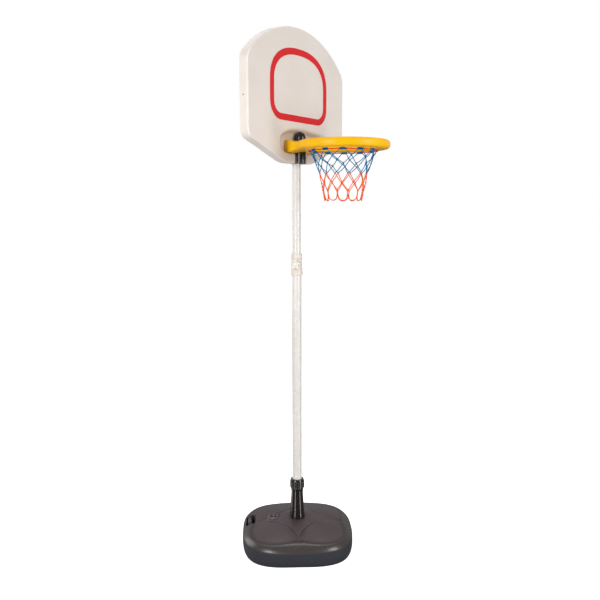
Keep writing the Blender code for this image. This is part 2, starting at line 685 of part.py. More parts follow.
def make_net(red, blue, orange, parent):
    cord = [(LACE_R + LACE_CORD * math.cos(TAU * i / 6), LACE_Z + LACE_CORD * math.sin(TAU * i / 6))
            for i in range(6)]
    lace = turned("lacing_cord", cord, red, parent, 36)
    lace.location = (0, RIM_Y, 0)
    net_lattice("net_upper", NET_UPPER, blue, parent)
    net_lattice("net_lower", NET_LOWER, orange, parent)


def main():
    clear_scene()
    black = plastic("black_satin", (0.035, 0.028, 0.030), 0.55)
    gloss = plastic("black_gloss", (0.022, 0.017, 0.017), 0.22)
    rubber = plastic("rubber", (0.02, 0.02, 0.02), 0.8)
    paint = plastic("white_paint", (0.80, 0.79, 0.76), 0.25)
    cream = plastic("cream_plastic", (0.78, 0.74, 0.68), 0.35)
    white = plastic("board_white", (0.74, 0.68, 0.62), 0.45)
    red = plastic("target_red", (0.72, 0.02, 0.03), 0.4)
    yellow = plastic("rim_yellow", (0.84, 0.45, 0.005), 0.3)
    blue = plastic("net_blue", (0.015, 0.14, 0.38), 0.7)
    orange = plastic("net_orange", (0.83, 0.11, 0.015), 0.7)
    steel = plastic("zinc_steel", (0.62, 0.62, 0.60), 0.35, 1.0)

    base_axis = empty("base_axis", (0, 0, 0), (0, 0, BASE_TURN))
    lower_axis = empty("lower_pole_axis")
    upper_axis = empty("upper_pole_axis")
    upper_axis.parent = lower_axis

    make_base(black, base_axis)
    make_filler_cap(black, rubber, base_axis)
    make_socket(gloss, base_axis)
    make_collet(black, gloss)
    make_tube("lower_tube", LOWER_R, LOWER_BOTTOM_Z, LOWER_TOP_Z, paint, lower_axis)
    make_plug("foot_plug", LOWER_R, LOWER_R - TUBE_WALL, LOWER_BOTTOM_Z - 0.0033,
              LOWER_BOTTOM_Z - GAP, black, lower_axis)
    make_collar(cream, steel, black, lower_axis)
    make_tube("upper_tube", UPPER_R, UPPER_BOTTOM_Z, UPPER_TOP_Z, paint, upper_axis)
    make_plug("glide_plug", LOWER_R - TUBE_WALL - GAP, UPPER_R - TUBE_WALL, UPPER_BOTTOM_Z - 0.0123,
              UPPER_BOTTOM_Z - GAP, black, upper_axis)
    make_head(gloss, upper_axis)
    make_board(white, upper_axis)
    make_target(red, upper_axis)
    make_rim(yellow, upper_axis)
    make_rim_screws(steel, upper_axis)
    make_net(red, blue, orange, upper_axis)


main()
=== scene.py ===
"""Looks of the portable basketball hoop: moulded plastic, painted tubes, corded net, studio."""
import math

import bmesh
import bpy
import numpy as np
from mathutils import Matrix, Vector


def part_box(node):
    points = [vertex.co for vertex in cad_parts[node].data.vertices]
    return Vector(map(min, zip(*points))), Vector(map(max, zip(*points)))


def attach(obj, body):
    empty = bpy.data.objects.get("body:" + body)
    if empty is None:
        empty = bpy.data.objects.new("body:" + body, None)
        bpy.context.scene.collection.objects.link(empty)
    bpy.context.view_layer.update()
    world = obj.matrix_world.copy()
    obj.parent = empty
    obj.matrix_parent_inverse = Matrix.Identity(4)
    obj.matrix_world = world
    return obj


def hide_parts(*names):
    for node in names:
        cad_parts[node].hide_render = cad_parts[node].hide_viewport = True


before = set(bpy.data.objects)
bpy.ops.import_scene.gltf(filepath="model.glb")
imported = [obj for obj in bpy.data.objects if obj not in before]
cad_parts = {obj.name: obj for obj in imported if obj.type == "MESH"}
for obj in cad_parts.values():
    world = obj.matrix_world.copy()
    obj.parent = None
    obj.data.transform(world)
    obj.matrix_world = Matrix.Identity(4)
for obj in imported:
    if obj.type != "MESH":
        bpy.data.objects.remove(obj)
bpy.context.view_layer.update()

TAU = 2.0 * math.pi

# base tank, in its own turned frame
BASE_TURN = math.radians(-53.0)
BASE_HALF = 0.2345
BASE_SQUARENESS = 2.94
BASE_PROFILE = ((0.14, 0.1180), (0.20, 0.1180), (0.30, 0.1130), (0.52, 0.1030), (0.75, 0.0915),
                (0.82, 0.0875), (0.86, 0.0860), (0.90, 0.0850), (1.0, 0.0842))
BASE_RIM_Z = 0.0662
SEAM_Z = 0.0650
BASE_FOOT = ((0.9985, 0.0655), (0.9960, 0.0650), (0.9985, 0.0645), (1.0, 0.0635), (1.002, 0.0450),
             (1.002, 0.0320), (0.996, 0.0200), (0.984, 0.0110), (0.966, 0.0045), (0.945, 0.0010),
             (0.925, 0.0))
FOOT_FILL = 0.55            # how much less the foot draws in at the tank's corners
STAR_REACH = (0.208, 0.184)  # groove round the central dome, a four-pointed star
STAR_POWER = 0.60
GROOVE_HALF = 0.0016
GROOVE_DEPTH = 0.0024
GROOVE_END = (0.156, 0.172)  # where it dies out, across the cap's axis
LOBE_RISE, LOBE_END = 0.0022, 0.93   # swell of the corners, and the share of the way out where it ends
CREST = (0.83, 0.935)       # where the shoulder breaks, in the middle of a side and near its ends
CREST_SPREAD = math.radians(25.0)
SHOULDER_WAVE = 0.0038      # rise of the crest in the middle of a side
REAR_DROP = 0.0036          # fall of the shoulder on the side away from the camera
SHOULDER_SHADE = (0.026, 0.022, 0.018)  # linear colour of the painted olive shade on the shoulder
CAP_PLACE = (-0.1035, 0.0175)
CAP_R = 0.0245
CAP_SEAT_Z = 0.1045
TETHER_PLACE = (-0.1160, -0.0075)
HANDLE_PLACE = (-0.2030, 0.034)
HANDLE_SIZE = (0.038, 0.094)
HANDLE_FLOOR_Z = 0.042

# socket tube, collet nut, tubes and clamp
NUT_R, NUT_BOTTOM_Z, NUT_TOP_Z = 0.0305, 0.250, 0.290
LOWER_R, LOWER_TOP_Z = 0.020, 1.185
UPPER_R = 0.0175
TUBE_WALL = 0.0012
COLLAR_BOTTOM_Z, COLLAR_TOP_Z = 1.166, 1.254
KNOB_Z = 1.2125
KNOB_TURN = math.radians(-152.5)

# backboard
FRONT_Y, BACK_Y = -0.0174, 0.0250
BOARD_HALF, BOTTOM_HALF = 0.3275, 0.093
ARCH_SPRING_Z, ARCH_TOP_Z = 1.998, 2.142
CHAMFER_Z, BOTTOM_Z = 1.706, 1.618
BOARD_EDGE = 0.007
POCKET_Y, POCKET_Z = 0.0018, 1.7045
POCKET_HALF, POCKET_RISE, POCKET_FOOT = 0.134, 0.053, 0.0515
POCKET_SCOOP = 0.105        # how much further the pocket runs to the right
CHANNEL_Y, CHANNEL_HALF = -0.0100, 0.062
SCREW_X, SCREW_Z, SINK_Y = 0.056, 1.684, 0.0212
VENT_Z = 1.850
FAN_Z = 1.700               # where the rings of the board's faces start
TARGET_Z, TARGET_HALF, TARGET_BAND, TARGET_CORNER = 1.920, (0.195, 0.141), 0.0255, 0.070

# pole head
HEAD_R, HEAD_Y = 0.0218, -0.0207
HEAD_BOTTOM_Z, HEAD_TOP_Z, HEAD_DOME = 1.6170, 1.7440, 0.030
HEAD_REAR_TOP_Z = 1.7035

# rim and net
RIM_Y = -0.2225
RIM_OUTER_R, RIM_INNER_R = 0.1794, 0.1345
RIM_BOTTOM_Z, RIM_TOP_Z = 1.6640, 1.6985
BRACKET_HALF, BRACKET_BACK_Y, BRACKET_SWEEP = 0.079, 0.0003, 0.115
BRACKET_BOTTOM_Z, BRACKET_TOP_Z = 1.6590, 1.7070
NET_MESHES = 12
LACE_R, LACE_Z, LACE_CORD = 0.1292, 1.6597, 0.0019
NET_ROWS = ((1.6572, 0.1275), (1.636, 0.1165), (1.606, 0.1045), (1.5750, 0.0933),
            (1.540, 0.0865), (1.509, 0.0795))
NET_CHANGE = 3              # row where the orange cord takes over
NET_FOOT = (1.4688, 0.0710)
CORD_R = 0.0016

# studio
FILL_LIGHT = 0.38
SOFTBOXES = (("left_box", (-2.8, 0.0, 1.6), (0.6, 2.8), 60.0),
             ("right_box", (0.0, -2.8, 1.6), (0.6, 2.8), 58.0),
             ("top_box", (0.95, 0.67, 3.9), (2.8, 0.8), 32.0),
             ("rear_box", (-0.6, 3.2, 1.6), (2.4, 2.4), 36.0))
CAMERA_LENS = 41.77
CAMERA_PLACE = (-2.3401, -1.6523, 1.4517)
CAMERA_TURN = (1.4356, 0.0020, -0.9611)


# ---------------- materials

def srgb(r, g, b):
    """Linear colour from 0-255 display values."""
    return tuple((c / 255 / 12.92) if c <= 10 else ((c / 255 + 0.055) / 1.055) ** 2.4
                 for c in (r, g, b))


def new_material(name):
    material = bpy.data.materials.new(name)
    material.use_nodes = True
    tree = material.node_tree
    return material, tree, tree.nodes["Principled BSDF"]


def feed(tree, target, **inputs):
    """Set a node's inputs by name: a socket is linked to it, anything else is its value."""
    for key, value in inputs.items():
        socket = target.inputs[key.replace("_", " ")]
        if isinstance(value, bpy.types.NodeSocket):
            tree.links.new(value, socket)
        else:
            socket.default_value = value


def node(tree, kind, **inputs):
    made = tree.nodes.new(kind)
    feed(tree, made, **inputs)
    return made


def object_coords(tree):
    return tree.nodes.new("ShaderNodeTexCoord").outputs["Object"]


def noise(tree, coords, scale, detail=3.0, roughness=0.5):
    return node(tree, "ShaderNodeTexNoise", Vector=coords, Scale=scale, Detail=detail,
                Roughness=roughness).outputs["Fac"]


def remap(tree, value, low, high, to_low, to_high):
    return node(tree, "ShaderNodeMapRange", Value=value, From_Min=low, From_Max=high,
                To_Min=to_low, To_Max=to_high).outputs["Result"]


def combine(tree, operation, first, second, clamp=False):
    """Arithmetic on two sockets."""
    made = tree.nodes.new("ShaderNodeMath")
    made.operation, made.use_clamp = operation, clamp
    tree.links.new(first, made.inputs[0])
    tree.links.new(second, made.inputs[1])
    return made.outputs[0]


def layer(tree, factor, under, over):
    """One colour over another, which may be a socket."""
    made = tree.nodes.new("ShaderNodeMix")
    made.data_type = "RGBA"
    tree.links.new(factor, made.inputs[0])
    if isinstance(under, tuple):
        made.inputs[6].default_value = (*under, 1.0)
    else:
        tree.links.new(under, made.inputs[6])
    made.inputs[7].default_value = (*over, 1.0)
    return made.outputs[2]


def bump(tree, height, strength, distance, under=None):
    """Normal pushed about by a height, on top of another normal if there is one."""
    made = node(tree, "ShaderNodeBump", Height=height, Strength=strength, Distance=distance)
    if under:
        feed(tree, made, Normal=under)
    return made.outputs["Normal"]


def painted_weight(tree, name, most, full=1.0):
    """Share of a weight painted on the mesh; it is nothing where the mesh has none."""
    weight = tree.nodes.new("ShaderNodeAttribute")
    weight.attribute_name = name
    return remap(tree, weight.outputs["Fac"], 0.0, full, 0.0, most)


def speck_mask(tree, coords, scale):
    """Sparse dots, kept to a few patches."""
    dots = node(tree, "ShaderNodeTexVoronoi", Vector=coords, Scale=scale).outputs["Distance"]
    patches = remap(tree, noise(tree, coords, 15.0, 1.0), 0.60, 0.64, 0.0, 1.0)
    return combine(tree, "MULTIPLY", remap(tree, dots, 0.02, 0.055, 1.0, 0.0), patches)


def moulded(name, colour, dark, roughness, grain=900.0, grain_depth=0.00012, ripple=0.0,
            specks=None, scuffs=0.25, coat=0.0, specular=0.5, side=None, painted_shade=None):
    """Moulded plastic: clouded colour, fine grain, soft ripples, scuffs that change its gloss.

    side is the cooler, duller colour of the tank below its seam; the last argument is the colour of the
    painted shade in grooves and hollows.
    """
    material, tree, shader = new_material(name)
    coords = object_coords(tree)
    cloud = remap(tree, noise(tree, coords, 7.0, 4.0, 0.6), 0.3, 0.7, 0.0, 1.0)
    fine = noise(tree, coords, grain, 2.0, 0.6)
    pores = remap(tree, fine, 0.30, 0.42, 0.55, 0.0)
    colour_out = layer(tree, pores, layer(tree, cloud, colour, dark), dark)
    if specks:
        colour_out = layer(tree, speck_mask(tree, coords, specks[0]), colour_out, specks[1])
    gloss = remap(tree, noise(tree, coords, 60.0, 6.0, 0.7), 0.35, 0.65,
                  roughness - scuffs * 0.3, roughness + scuffs * 0.3)
    if side:
        height = node(tree, "ShaderNodeSeparateXYZ", Vector=coords).outputs["Z"]
        colour_out = layer(tree, remap(tree, height, 0.064, 0.070, 1.0, 0.0), colour_out, side)
        # painted shade: the shoulder's outer slope tinted dark olive, for the dark reflection it shows
        colour_out = layer(tree, painted_weight(tree, "shoulder", 0.75), colour_out, SHOULDER_SHADE)
        gloss = combine(tree, "ADD", gloss, remap(tree, height, 0.060, 0.068, 0.45, 0.0))
        gloss = combine(tree, "ADD", gloss, painted_weight(tree, "shoulder", -0.06))
    # painted shade: colour darkened towards a shade tone in grooves, creases and hollows, by a weight
    # painted on the mesh
    colour_out = layer(tree, painted_weight(tree, "painted_shade", 0.92, 0.8), colour_out,
                       painted_shade or tuple(0.2 * c for c in dark))
    edges = tree.nodes.new("ShaderNodeNewGeometry").outputs["Pointiness"]
    colour_out = layer(tree, remap(tree, edges, 0.53, 0.60, 0.0, 0.20), colour_out,
                       tuple(0.5 + 0.5 * c for c in colour))
    normal = bump(tree, fine, 0.35, grain_depth)
    if ripple:
        normal = bump(tree, noise(tree, coords, 11.0, 2.0), 0.6, ripple, normal)
    feed(tree, shader, Base_Color=colour_out, Roughness=gloss, Normal=normal, Coat_Weight=coat,
         Coat_Roughness=0.08, Specular_IOR_Level=specular)
    return material


def painted(name, colour, dark):
    """Powder-coated steel tube: clouded colour, thin dark veins, orange peel."""
    material, tree, shader = new_material(name)
    coords = object_coords(tree)
    cloud = remap(tree, noise(tree, coords, 9.0), 0.3, 0.7, 0.0, 1.0)
    clouded = layer(tree, cloud, colour, dark)
    feed(tree, shader, Base_Color=layer(tree, veins(tree, coords), clouded, tuple(0.6 * c for c in dark)),
         Roughness=remap(tree, noise(tree, coords, 45.0, 5.0, 0.7), 0.3, 0.7, 0.20, 0.34),
         Normal=bump(tree, noise(tree, coords, 420.0, 1.0), 0.25, 0.00015),
         Coat_Weight=0.35, Coat_Roughness=0.1)
    return material


def veins(tree, coords):
    """Thin lines along one level of a noise: a rise up to it, less another rise past it."""
    streak = noise(tree, coords, 13.0, 5.0, 0.55)
    rise = remap(tree, streak, 0.492, 0.500, 0.0, 0.35)
    fall = remap(tree, streak, 0.500, 0.508, 0.0, 0.35)
    return combine(tree, "SUBTRACT", rise, fall, clamp=True)


def zinc(name):
    """Zinc-plated steel with fine brushed streaks."""
    material, tree, shader = new_material(name)
    streak = noise(tree, object_coords(tree), 350.0, 4.0, 0.7)
    feed(tree, shader, Base_Color=layer(tree, streak, (0.46, 0.46, 0.44), (0.68, 0.68, 0.66)),
         Roughness=remap(tree, streak, 0.3, 0.7, 0.25, 0.42),
         Normal=bump(tree, streak, 0.3, 0.0001), Metallic=1.0)
    return material


def twisted_cord(name, colour, dark):
    """Laid cord: strands twisted together, read from the U along and the V round each cord."""
    material, tree, shader = new_material(name)
    uv = tree.nodes.new("ShaderNodeTexCoord").outputs["UV"]
    wave = node(tree, "ShaderNodeTexWave", Vector=uv, Scale=1.0, Distortion=0.4, Detail=1.0)
    wave.wave_type, wave.bands_direction = "BANDS", "DIAGONAL"
    lay = wave.outputs["Fac"]
    fuzz = noise(tree, object_coords(tree), 1800.0, 2.0)
    feed(tree, shader, Base_Color=layer(tree, remap(tree, lay, 0.0, 1.0, 0.75, 0.0), colour, dark),
         Roughness=remap(tree, fuzz, 0.3, 0.7, 0.55, 0.8),
         Normal=bump(tree, fuzz, 0.4, 0.0002, bump(tree, lay, 0.9, 0.0006)),
         Specular_IOR_Level=0.1)
    return material


# ---------------- mesh tools

def smoothed(mesh, sharp):
    """Smooth shading, with the edges over an angle in degrees kept sharp."""
    mesh.shade_smooth()
    if sharp:
        mesh.set_sharp_from_angle(angle=math.radians(sharp))


def to_object(name, bm, material=None, body=None, sharp=40.0):
    bmesh.ops.recalc_face_normals(bm, faces=bm.faces)
    mesh = bpy.data.meshes.new(name)
    bm.to_mesh(mesh)
    bm.free()
    smoothed(mesh, sharp)
    obj = bpy.data.objects.new(name, mesh)
    bpy.context.scene.collection.objects.link(obj)
    if material:
        mesh.materials.append(material)
    if body:
        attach(obj, body)
    return obj


def paint_weight(obj, name, weights):
    obj.data.attributes.new(name, "FLOAT", "POINT").data.foreach_set("value", weights)


def step(value, low, high):
    """Smooth step from 0 at low to 1 at high."""
    t = min(1.0, max(0.0, (value - low) / (high - low)))
    return t * t * (3 - 2 * t)


def polar(radius, angle):
    return radius * math.cos(angle), radius * math.sin(angle)


def loft(rings, capped=True):
    """Closed rings of points skinned in order, with a fan over each end."""
    bm = bmesh.new()
    loops = [[bm.verts.new(p) for p in ring] for ring in rings]
    for low, high in zip(loops, loops[1:]):
        for i in range(len(low)):
            bm.faces.new((low[i - 1], low[i], high[i], high[i - 1]))
    if capped:
        for loop in (loops[0], loops[-1]):
            centre = bm.verts.new(sum((v.co for v in loop), Vector()) / len(loop))
            for i in range(len(loop)):
                bm.faces.new((loop[i - 1], loop[i], centre))
    return bm


def rounded(points, radius, count=4):
    """An open profile with its inner corners rounded."""
    out = [Vector(points[0])]
    for before, here, after in zip(points, points[1:], points[2:]):
        here = Vector(here)
        back, ahead = Vector(before) - here, Vector(after) - here
        reach = min(radius, 0.45 * back.length, 0.45 * ahead.length)
        start, stop = here + back.normalized() * reach, here + ahead.normalized() * reach
        for k in range(count + 1):
            t = k / count
            out.append(start.lerp(here, t).lerp(here.lerp(stop, t), t))
    out.append(Vector(points[-1]))
    return [(p.x, p.y) for p in out]


def turned(profile, steps, shape=None, closed=False):
    """Profile of (radius, height) turned about Z; shape(angle, r, z) may change the radius.

    The profile's two ends are capped, or joined to each other where it is closed.
    """
    angles = [TAU * i / steps for i in range(steps)]
    rings = [[(*polar(shape(a, r, z) if shape else r, a), z) for a in angles] for r, z in profile]
    return loft(rings + rings[:1], capped=False) if closed else loft(rings)


def placed(bm, location, rotation=None):
    matrix = Matrix.Translation(location)
    if rotation:
        matrix = matrix @ rotation.to_4x4()
    bm.transform(matrix)
    return bm


def cut(obj, bm, operation="DIFFERENCE"):
    """Boolean with a loose solid, applied at once."""
    cutter = to_object("cutter", bm)
    modifier = obj.modifiers.new("cut", "BOOLEAN")
    modifier.object = cutter
    modifier.operation = operation
    modifier.solver = "EXACT"
    apply_modifiers(obj)
    bpy.data.objects.remove(cutter)


def apply_modifiers(obj, sharp=40.0):
    bpy.context.view_layer.update()
    graph = bpy.context.evaluated_depsgraph_get()
    mesh = bpy.data.meshes.new_from_object(obj.evaluated_get(graph))
    obj.modifiers.clear()
    obj.data = mesh
    smoothed(mesh, sharp)


def superellipse(angle, half_x, half_y, power):
    c, s = math.cos(angle), math.sin(angle)
    scale = 1.0 / (abs(c) ** power + abs(s) ** power) ** (1.0 / power)
    return c * scale * half_x, s * scale * half_y


def oval(count, half_x, half_y, power, turn=0.0):
    """Closed superellipse of a number of points, its first one turned by part of a step."""
    return [superellipse(TAU * (i + turn) / count, half_x, half_y, power) for i in range(count)]


def smooth_curve(points, per_span):
    """Catmull-Rom curve through points."""
    pts = [Vector(p) for p in points]
    out = []
    for p0, p1, p2, p3 in zip(pts[:1] + pts, pts, pts[1:], pts[2:] + pts[-1:]):
        for k in range(per_span):
            t = k / per_span
            out.append(0.5 * (2 * p1 + (p2 - p0) * t + (2 * p0 - 5 * p1 + 4 * p2 - p3) * t ** 2
                              + (3 * p1 - p0 - 3 * p2 + p3) * t ** 3))
    return out + pts[-1:]


def add_tube(bm, path, radius, sides, closed=False, lay=0.0045):
    """Round cord along a path, its U counting turns of the lay and V going once round."""
    uv_layer = bm.loops.layers.uv.active
    total = len(path)
    rings, along = [], [0.0]
    normal = None
    for i, here in enumerate(path):
        if closed:
            tangent = (path[(i + 1) % total] - path[i - 1]).normalized()
        else:
            tangent = (path[min(i + 1, total - 1)] - path[max(i - 1, 0)]).normalized()
        if normal is None:
            normal = tangent.orthogonal().normalized()
        normal = (normal - tangent * normal.dot(tangent)).normalized()
        side = tangent.cross(normal)
        wheel = (polar(radius, TAU * k / sides) for k in range(sides))
        rings.append([bm.verts.new(here + normal * u + side * v) for u, v in wheel])
        if i:
            along.append(along[-1] + (here - path[i - 1]).length)
    spans = total if closed else total - 1
    for i in range(spans):
        low, high = rings[i], rings[(i + 1) % total]
        far = along[i + 1] if i + 1 < total else along[-1] + (path[0] - path[-1]).length
        for k in range(sides):
            j = (k + 1) % sides
            face = bm.faces.new((low[k], low[j], high[j], high[k]))
            corners = ((along[i], k), (along[i], k + 1), (far, k + 1), (far, k))
            for loop, (u, v) in zip(face.loops, corners):
                loop[uv_layer].uv = (u / lay, v / sides)
    if not closed:
        bm.faces.new(rings[0][::-1])
        bm.faces.new(rings[-1])


# ---------------- base

def outline_radius(angle):
    return math.hypot(*superellipse(angle, BASE_HALF, BASE_HALF, BASE_SQUARENESS))


def star_radius(angle):
    across, along = abs(math.cos(angle) / STAR_REACH[0]), abs(math.sin(angle) / STAR_REACH[1])
    return (across ** STAR_POWER + along ** STAR_POWER) ** (-1.0 / STAR_POWER)


def groove_share(y):
    """How much of the groove is left at a distance across the cap's axis."""
    return 1.0 - step(abs(y), *GROOVE_END)


def crest_scale(angle):
    """Share of the way out at which the shoulder breaks: further in at the middle of each side."""
    off = (angle + TAU / 8) % (TAU / 4) - TAU / 8
    return CREST[0] + (CREST[1] - CREST[0]) * (1.0 - math.exp(-(off / CREST_SPREAD) ** 2))


def top_height(angle, scale):
    """Height of the tank's top: the domed profile, the shoulder's crest, then its round fall."""
    scales, heights = zip(*BASE_PROFILE)
    crest = crest_scale(angle)
    inner = min(scale, crest)
    level = sum(np.interp(inner + d, scales, heights) for d in (-0.02, -0.01, 0.0, 0.01, 0.02)) / 5
    middle = (CREST[1] - crest) / (CREST[1] - CREST[0])
    level += SHOULDER_WAVE * middle * math.exp(-((inner - crest) / 0.065) ** 2)
    level -= REAR_DROP * step(math.sin(angle), -0.1, 0.6) * step(inner, 0.78, 0.92)
    if scale <= crest:
        return float(level)
    out = min((scale - crest) / (1.0 - crest), 1.0)
    return float(BASE_RIM_Z + (level - BASE_RIM_Z) * (1.0 - out ** 1.35) ** 0.8)


def top_point(angle, radius):
    """Point on the tank's top, with the corner lobes' swell and the star's groove."""
    reach, star = outline_radius(angle), star_radius(angle)
    scale = radius / reach
    z = top_height(angle, scale)
    lobe_width = LOBE_END * reach - star
    if radius > star and scale < LOBE_END:
        share = (radius - star) / lobe_width
        z += LOBE_RISE * min(lobe_width / 0.09, 1.0) * math.sin(math.pi * share) ** 0.75
    x, y = polar(radius, angle)
    depth = max(0.0, 1.0 - abs(radius - star) / GROOVE_HALF) * groove_share(y)
    return (x, y, z - GROOVE_DEPTH * depth)


def foot_point(angle, scale, z):
    """Point on the tank's side, whose foot draws in less at the corners."""
    draw = scale - 1.0
    if draw < 0.0:
        draw *= 1.0 - FOOT_FILL * math.sin(2 * angle) ** 2
    return (*polar((1.0 + draw) * outline_radius(angle), angle), z)


def base_angles():
    """Angles round the tank, closer together near the star's points."""
    quarters = [i / 72 for i in range(4 * 72)]
    return [(t - 0.86 * math.sin(TAU * t) / TAU) * TAU / 4 for t in quarters]


def base_mesh():
    """The tank's skin, from the socket's foot out over the star's groove and the shoulder, and down."""
    angles = base_angles()
    bore, inner, outer = 0.030, 0.034, 0.84
    rings = [[(*polar(bore, a), 0.1175) for a in angles]]
    for share in np.linspace(0.0, 1.0, 26)[:-1]:
        rings.append([top_point(a, inner + share * (star_radius(a) - GROOVE_HALF - inner)) for a in angles])
    for offset in np.linspace(-GROOVE_HALF, GROOVE_HALF, 5):
        rings.append([top_point(a, star_radius(a) + offset) for a in angles])
    for share in np.linspace(0.0, 1.0, 28)[1:]:
        rings.append([top_point(a, (star_radius(a) + GROOVE_HALF) * (1 - share)
                                + outer * outline_radius(a) * share) for a in angles])
    for scale in (*np.linspace(0.848, 0.98, 23), 0.985, 0.990, 0.994, 0.997, 1.0):
        rings.append([top_point(a, scale * outline_radius(a)) for a in angles])
    for scale, z in BASE_FOOT:
        rings.append([foot_point(a, scale, z) for a in angles])
    return loft(rings)


def make_base(plastic):
    shell = to_object("base_shell", base_mesh(), plastic)
    length, width = HANDLE_SIZE
    floor = HANDLE_FLOOR_Z
    well = []
    for z, grow in ((floor, -0.006), (floor + 0.0015, -0.0025), (floor + 0.006, 0.0), (0.0765, 0.0),
                    (0.0815, 0.0004), (0.0865, 0.0012), (0.110, 0.0040)):
        well.append([(x + HANDLE_PLACE[0], y + HANDLE_PLACE[1], z)
                     for x, y in oval(64, length / 2 + grow, width / 2 + grow, 7.0)])
    cut(shell, loft(well))
    land = rounded([(0.0, CAP_SEAT_Z - 0.002), (CAP_R + 0.0012, CAP_SEAT_Z - 0.002),
                    (CAP_R + 0.0018, CAP_SEAT_Z + 0.004), (CAP_R + 0.004, 0.125), (0.0, 0.125)], 0.002)
    cut(shell, placed(turned(land[1:-1], 64), (*CAP_PLACE, 0)))
    mark_base(shell)
    turn_base(shell)
    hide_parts("base_tank")

    pad = rounded([(0.016, 0.092), (CAP_R + 0.001, 0.092), (CAP_R + 0.001, CAP_SEAT_Z),
                   (0.0180, CAP_SEAT_Z), (0.016, 0.1)], 0.0012)
    rolled = [(CAP_R + grow, z) for grow, z in (
        (0.0010, 0.1000), (0.0010, 0.1062), (0.0014, 0.1072), (0.0022, 0.1076), (0.0032, 0.1072),
        (0.0040, 0.1060), (0.0046, 0.1040), (0.0046, 0.1000))]
    for name, bm in (("filler_neck", placed(turned(pad, 64), (*CAP_PLACE, 0))),
                     ("filler_lip", placed(turned(rolled, 96, closed=True), (*CAP_PLACE, 0))),
                     ("handle_grip", grip_mesh()), ("tether_button", tether_mesh())):
        turn_base(to_object(name, bm, plastic))


def mark_base(shell):
    """Weights of the painted shade in the groove, the seam's crease and the shoulder's valley, and of the
    shoulder, where the colour is a painted olive shade and the gloss is higher.
    """
    painted_shade, shoulder = [], []
    for v in shell.data.vertices:
        x, y, z = v.co
        radius, angle = math.hypot(x, y), math.atan2(y, x)
        scale, crest = radius / outline_radius(angle), crest_scale(angle)
        # painted shade: darkening along the star's groove, in the shoulder's valley and in the seam's crease
        marks = [0.0]
        if z > 0.075:
            marks.append((1.0 - abs(radius - star_radius(angle)) / (1.5 * GROOVE_HALF)) * groove_share(y))
            marks.append(0.55 * math.exp(-((scale - crest + 0.035) / 0.030) ** 2))
        if scale > 0.985:
            marks.append(1.0 - abs(z - SEAM_Z) / 0.0011)
        painted_shade.append(min(1.0, max(marks)))
        # painted shade: the shoulder's outer slope, tinted dark olive and made glossier
        shoulder.append(step(scale, crest - 0.02, crest + 0.02) if z > 0.066 else 0.0)
    paint_weight(shell, "painted_shade", painted_shade)
    paint_weight(shell, "shoulder", shoulder)


def grip_mesh():
    """Rounded rib that rises out of the hand recess's floor towards its far end."""
    rings = []
    low = HANDLE_FLOOR_Z - 0.001
    for t in np.linspace(0.0, 1.0, 25):
        high = 0.052 + 0.0285 * step(t, -0.1, 0.62)
        half = 0.0065 + 0.0050 * step(t, 0.0, 0.3)
        rings.append([(HANDLE_PLACE[0] - 0.0035 + x, HANDLE_PLACE[1] - 0.022 + t * 0.0685,
                       (high + low) / 2 + z) for x, z in oval(32, half, (high - low) / 2, 2.6)])
    return loft(rings)


def tether_mesh():
    """Oval button beside the cap, with a raised ring round a shallow dished middle."""
    rings = []
    x0, y0 = TETHER_PLACE
    angle = math.atan2(y0, x0)
    seat = top_height(angle, math.hypot(x0, y0) / outline_radius(angle)) + 0.001
    for grow, lift in ((1.00, -0.004), (1.00, 0.0006), (0.97, 0.0016), (0.90, 0.0022), (0.80, 0.0020),
                       (0.72, 0.0010), (0.66, 0.0004), (0.45, 0.0007), (0.20, 0.0011), (0.03, 0.0012)):
        rings.append([(x + x0, y + y0, seat + lift)
                      for x, y in oval(72, 0.0125 * grow, 0.0066 * grow ** 1.3, 2.3)])
    return loft(rings)


def turn_base(obj):
    """Turn a piece made in the tank's own frame into place, and let it ride on the base."""
    obj.data.transform(Matrix.Rotation(BASE_TURN, 4, "Z"))
    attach(obj, "base")


def make_filler_cap(plastic):
    """Screw cap with a knurled edge, a raised rim and four finger wells."""
    under = CAP_SEAT_Z + 0.0021
    profile = rounded([(0.0155, under), (CAP_R - 0.0005, under), (CAP_R, under + 0.0012),
                       (CAP_R, under + 0.0042), (CAP_R - 0.0018, under + 0.0066),
                       (CAP_R - 0.0040, under + 0.0066), (CAP_R - 0.0052, under + 0.0056),
                       (0.0130, under + 0.0066), (0.0040, under + 0.0078), (0.0002, under + 0.0079)],
                      0.0008)

    def knurled(angle, r, z):
        return r - 0.0005 * (0.5 + 0.5 * math.cos(36 * angle)) if r > CAP_R - 0.0008 else r

    cap = to_object("cap_disc", turned(profile, 144, knurled), plastic)
    well = rounded([(0.0001, under + 0.0010), (0.0064, under + 0.0010), (0.0068, under + 0.0060),
                    (0.0080, under + 0.0110), (0.0001, under + 0.0110)], 0.0009)
    for i in range(4):
        cut(cap, placed(turned(well, 32), (*polar(0.0118, TAU * (i + 0.5) / 4), 0)))
    # painted shade: the floors of the finger wells darkened
    paint_weight(cap, "painted_shade", [1.0 if v.co.z < under + 0.0050 and v.co.xy.length < 0.0185 else 0.0
                                for v in cap.data.vertices])
    cap.data.transform(Matrix.Rotation(BASE_TURN, 4, "Z") @ Matrix.Translation((*CAP_PLACE, 0.0)))
    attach(cap, "filler_cap")
    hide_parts("filler_cap")


# ---------------- neck, nut, tubes, clamp

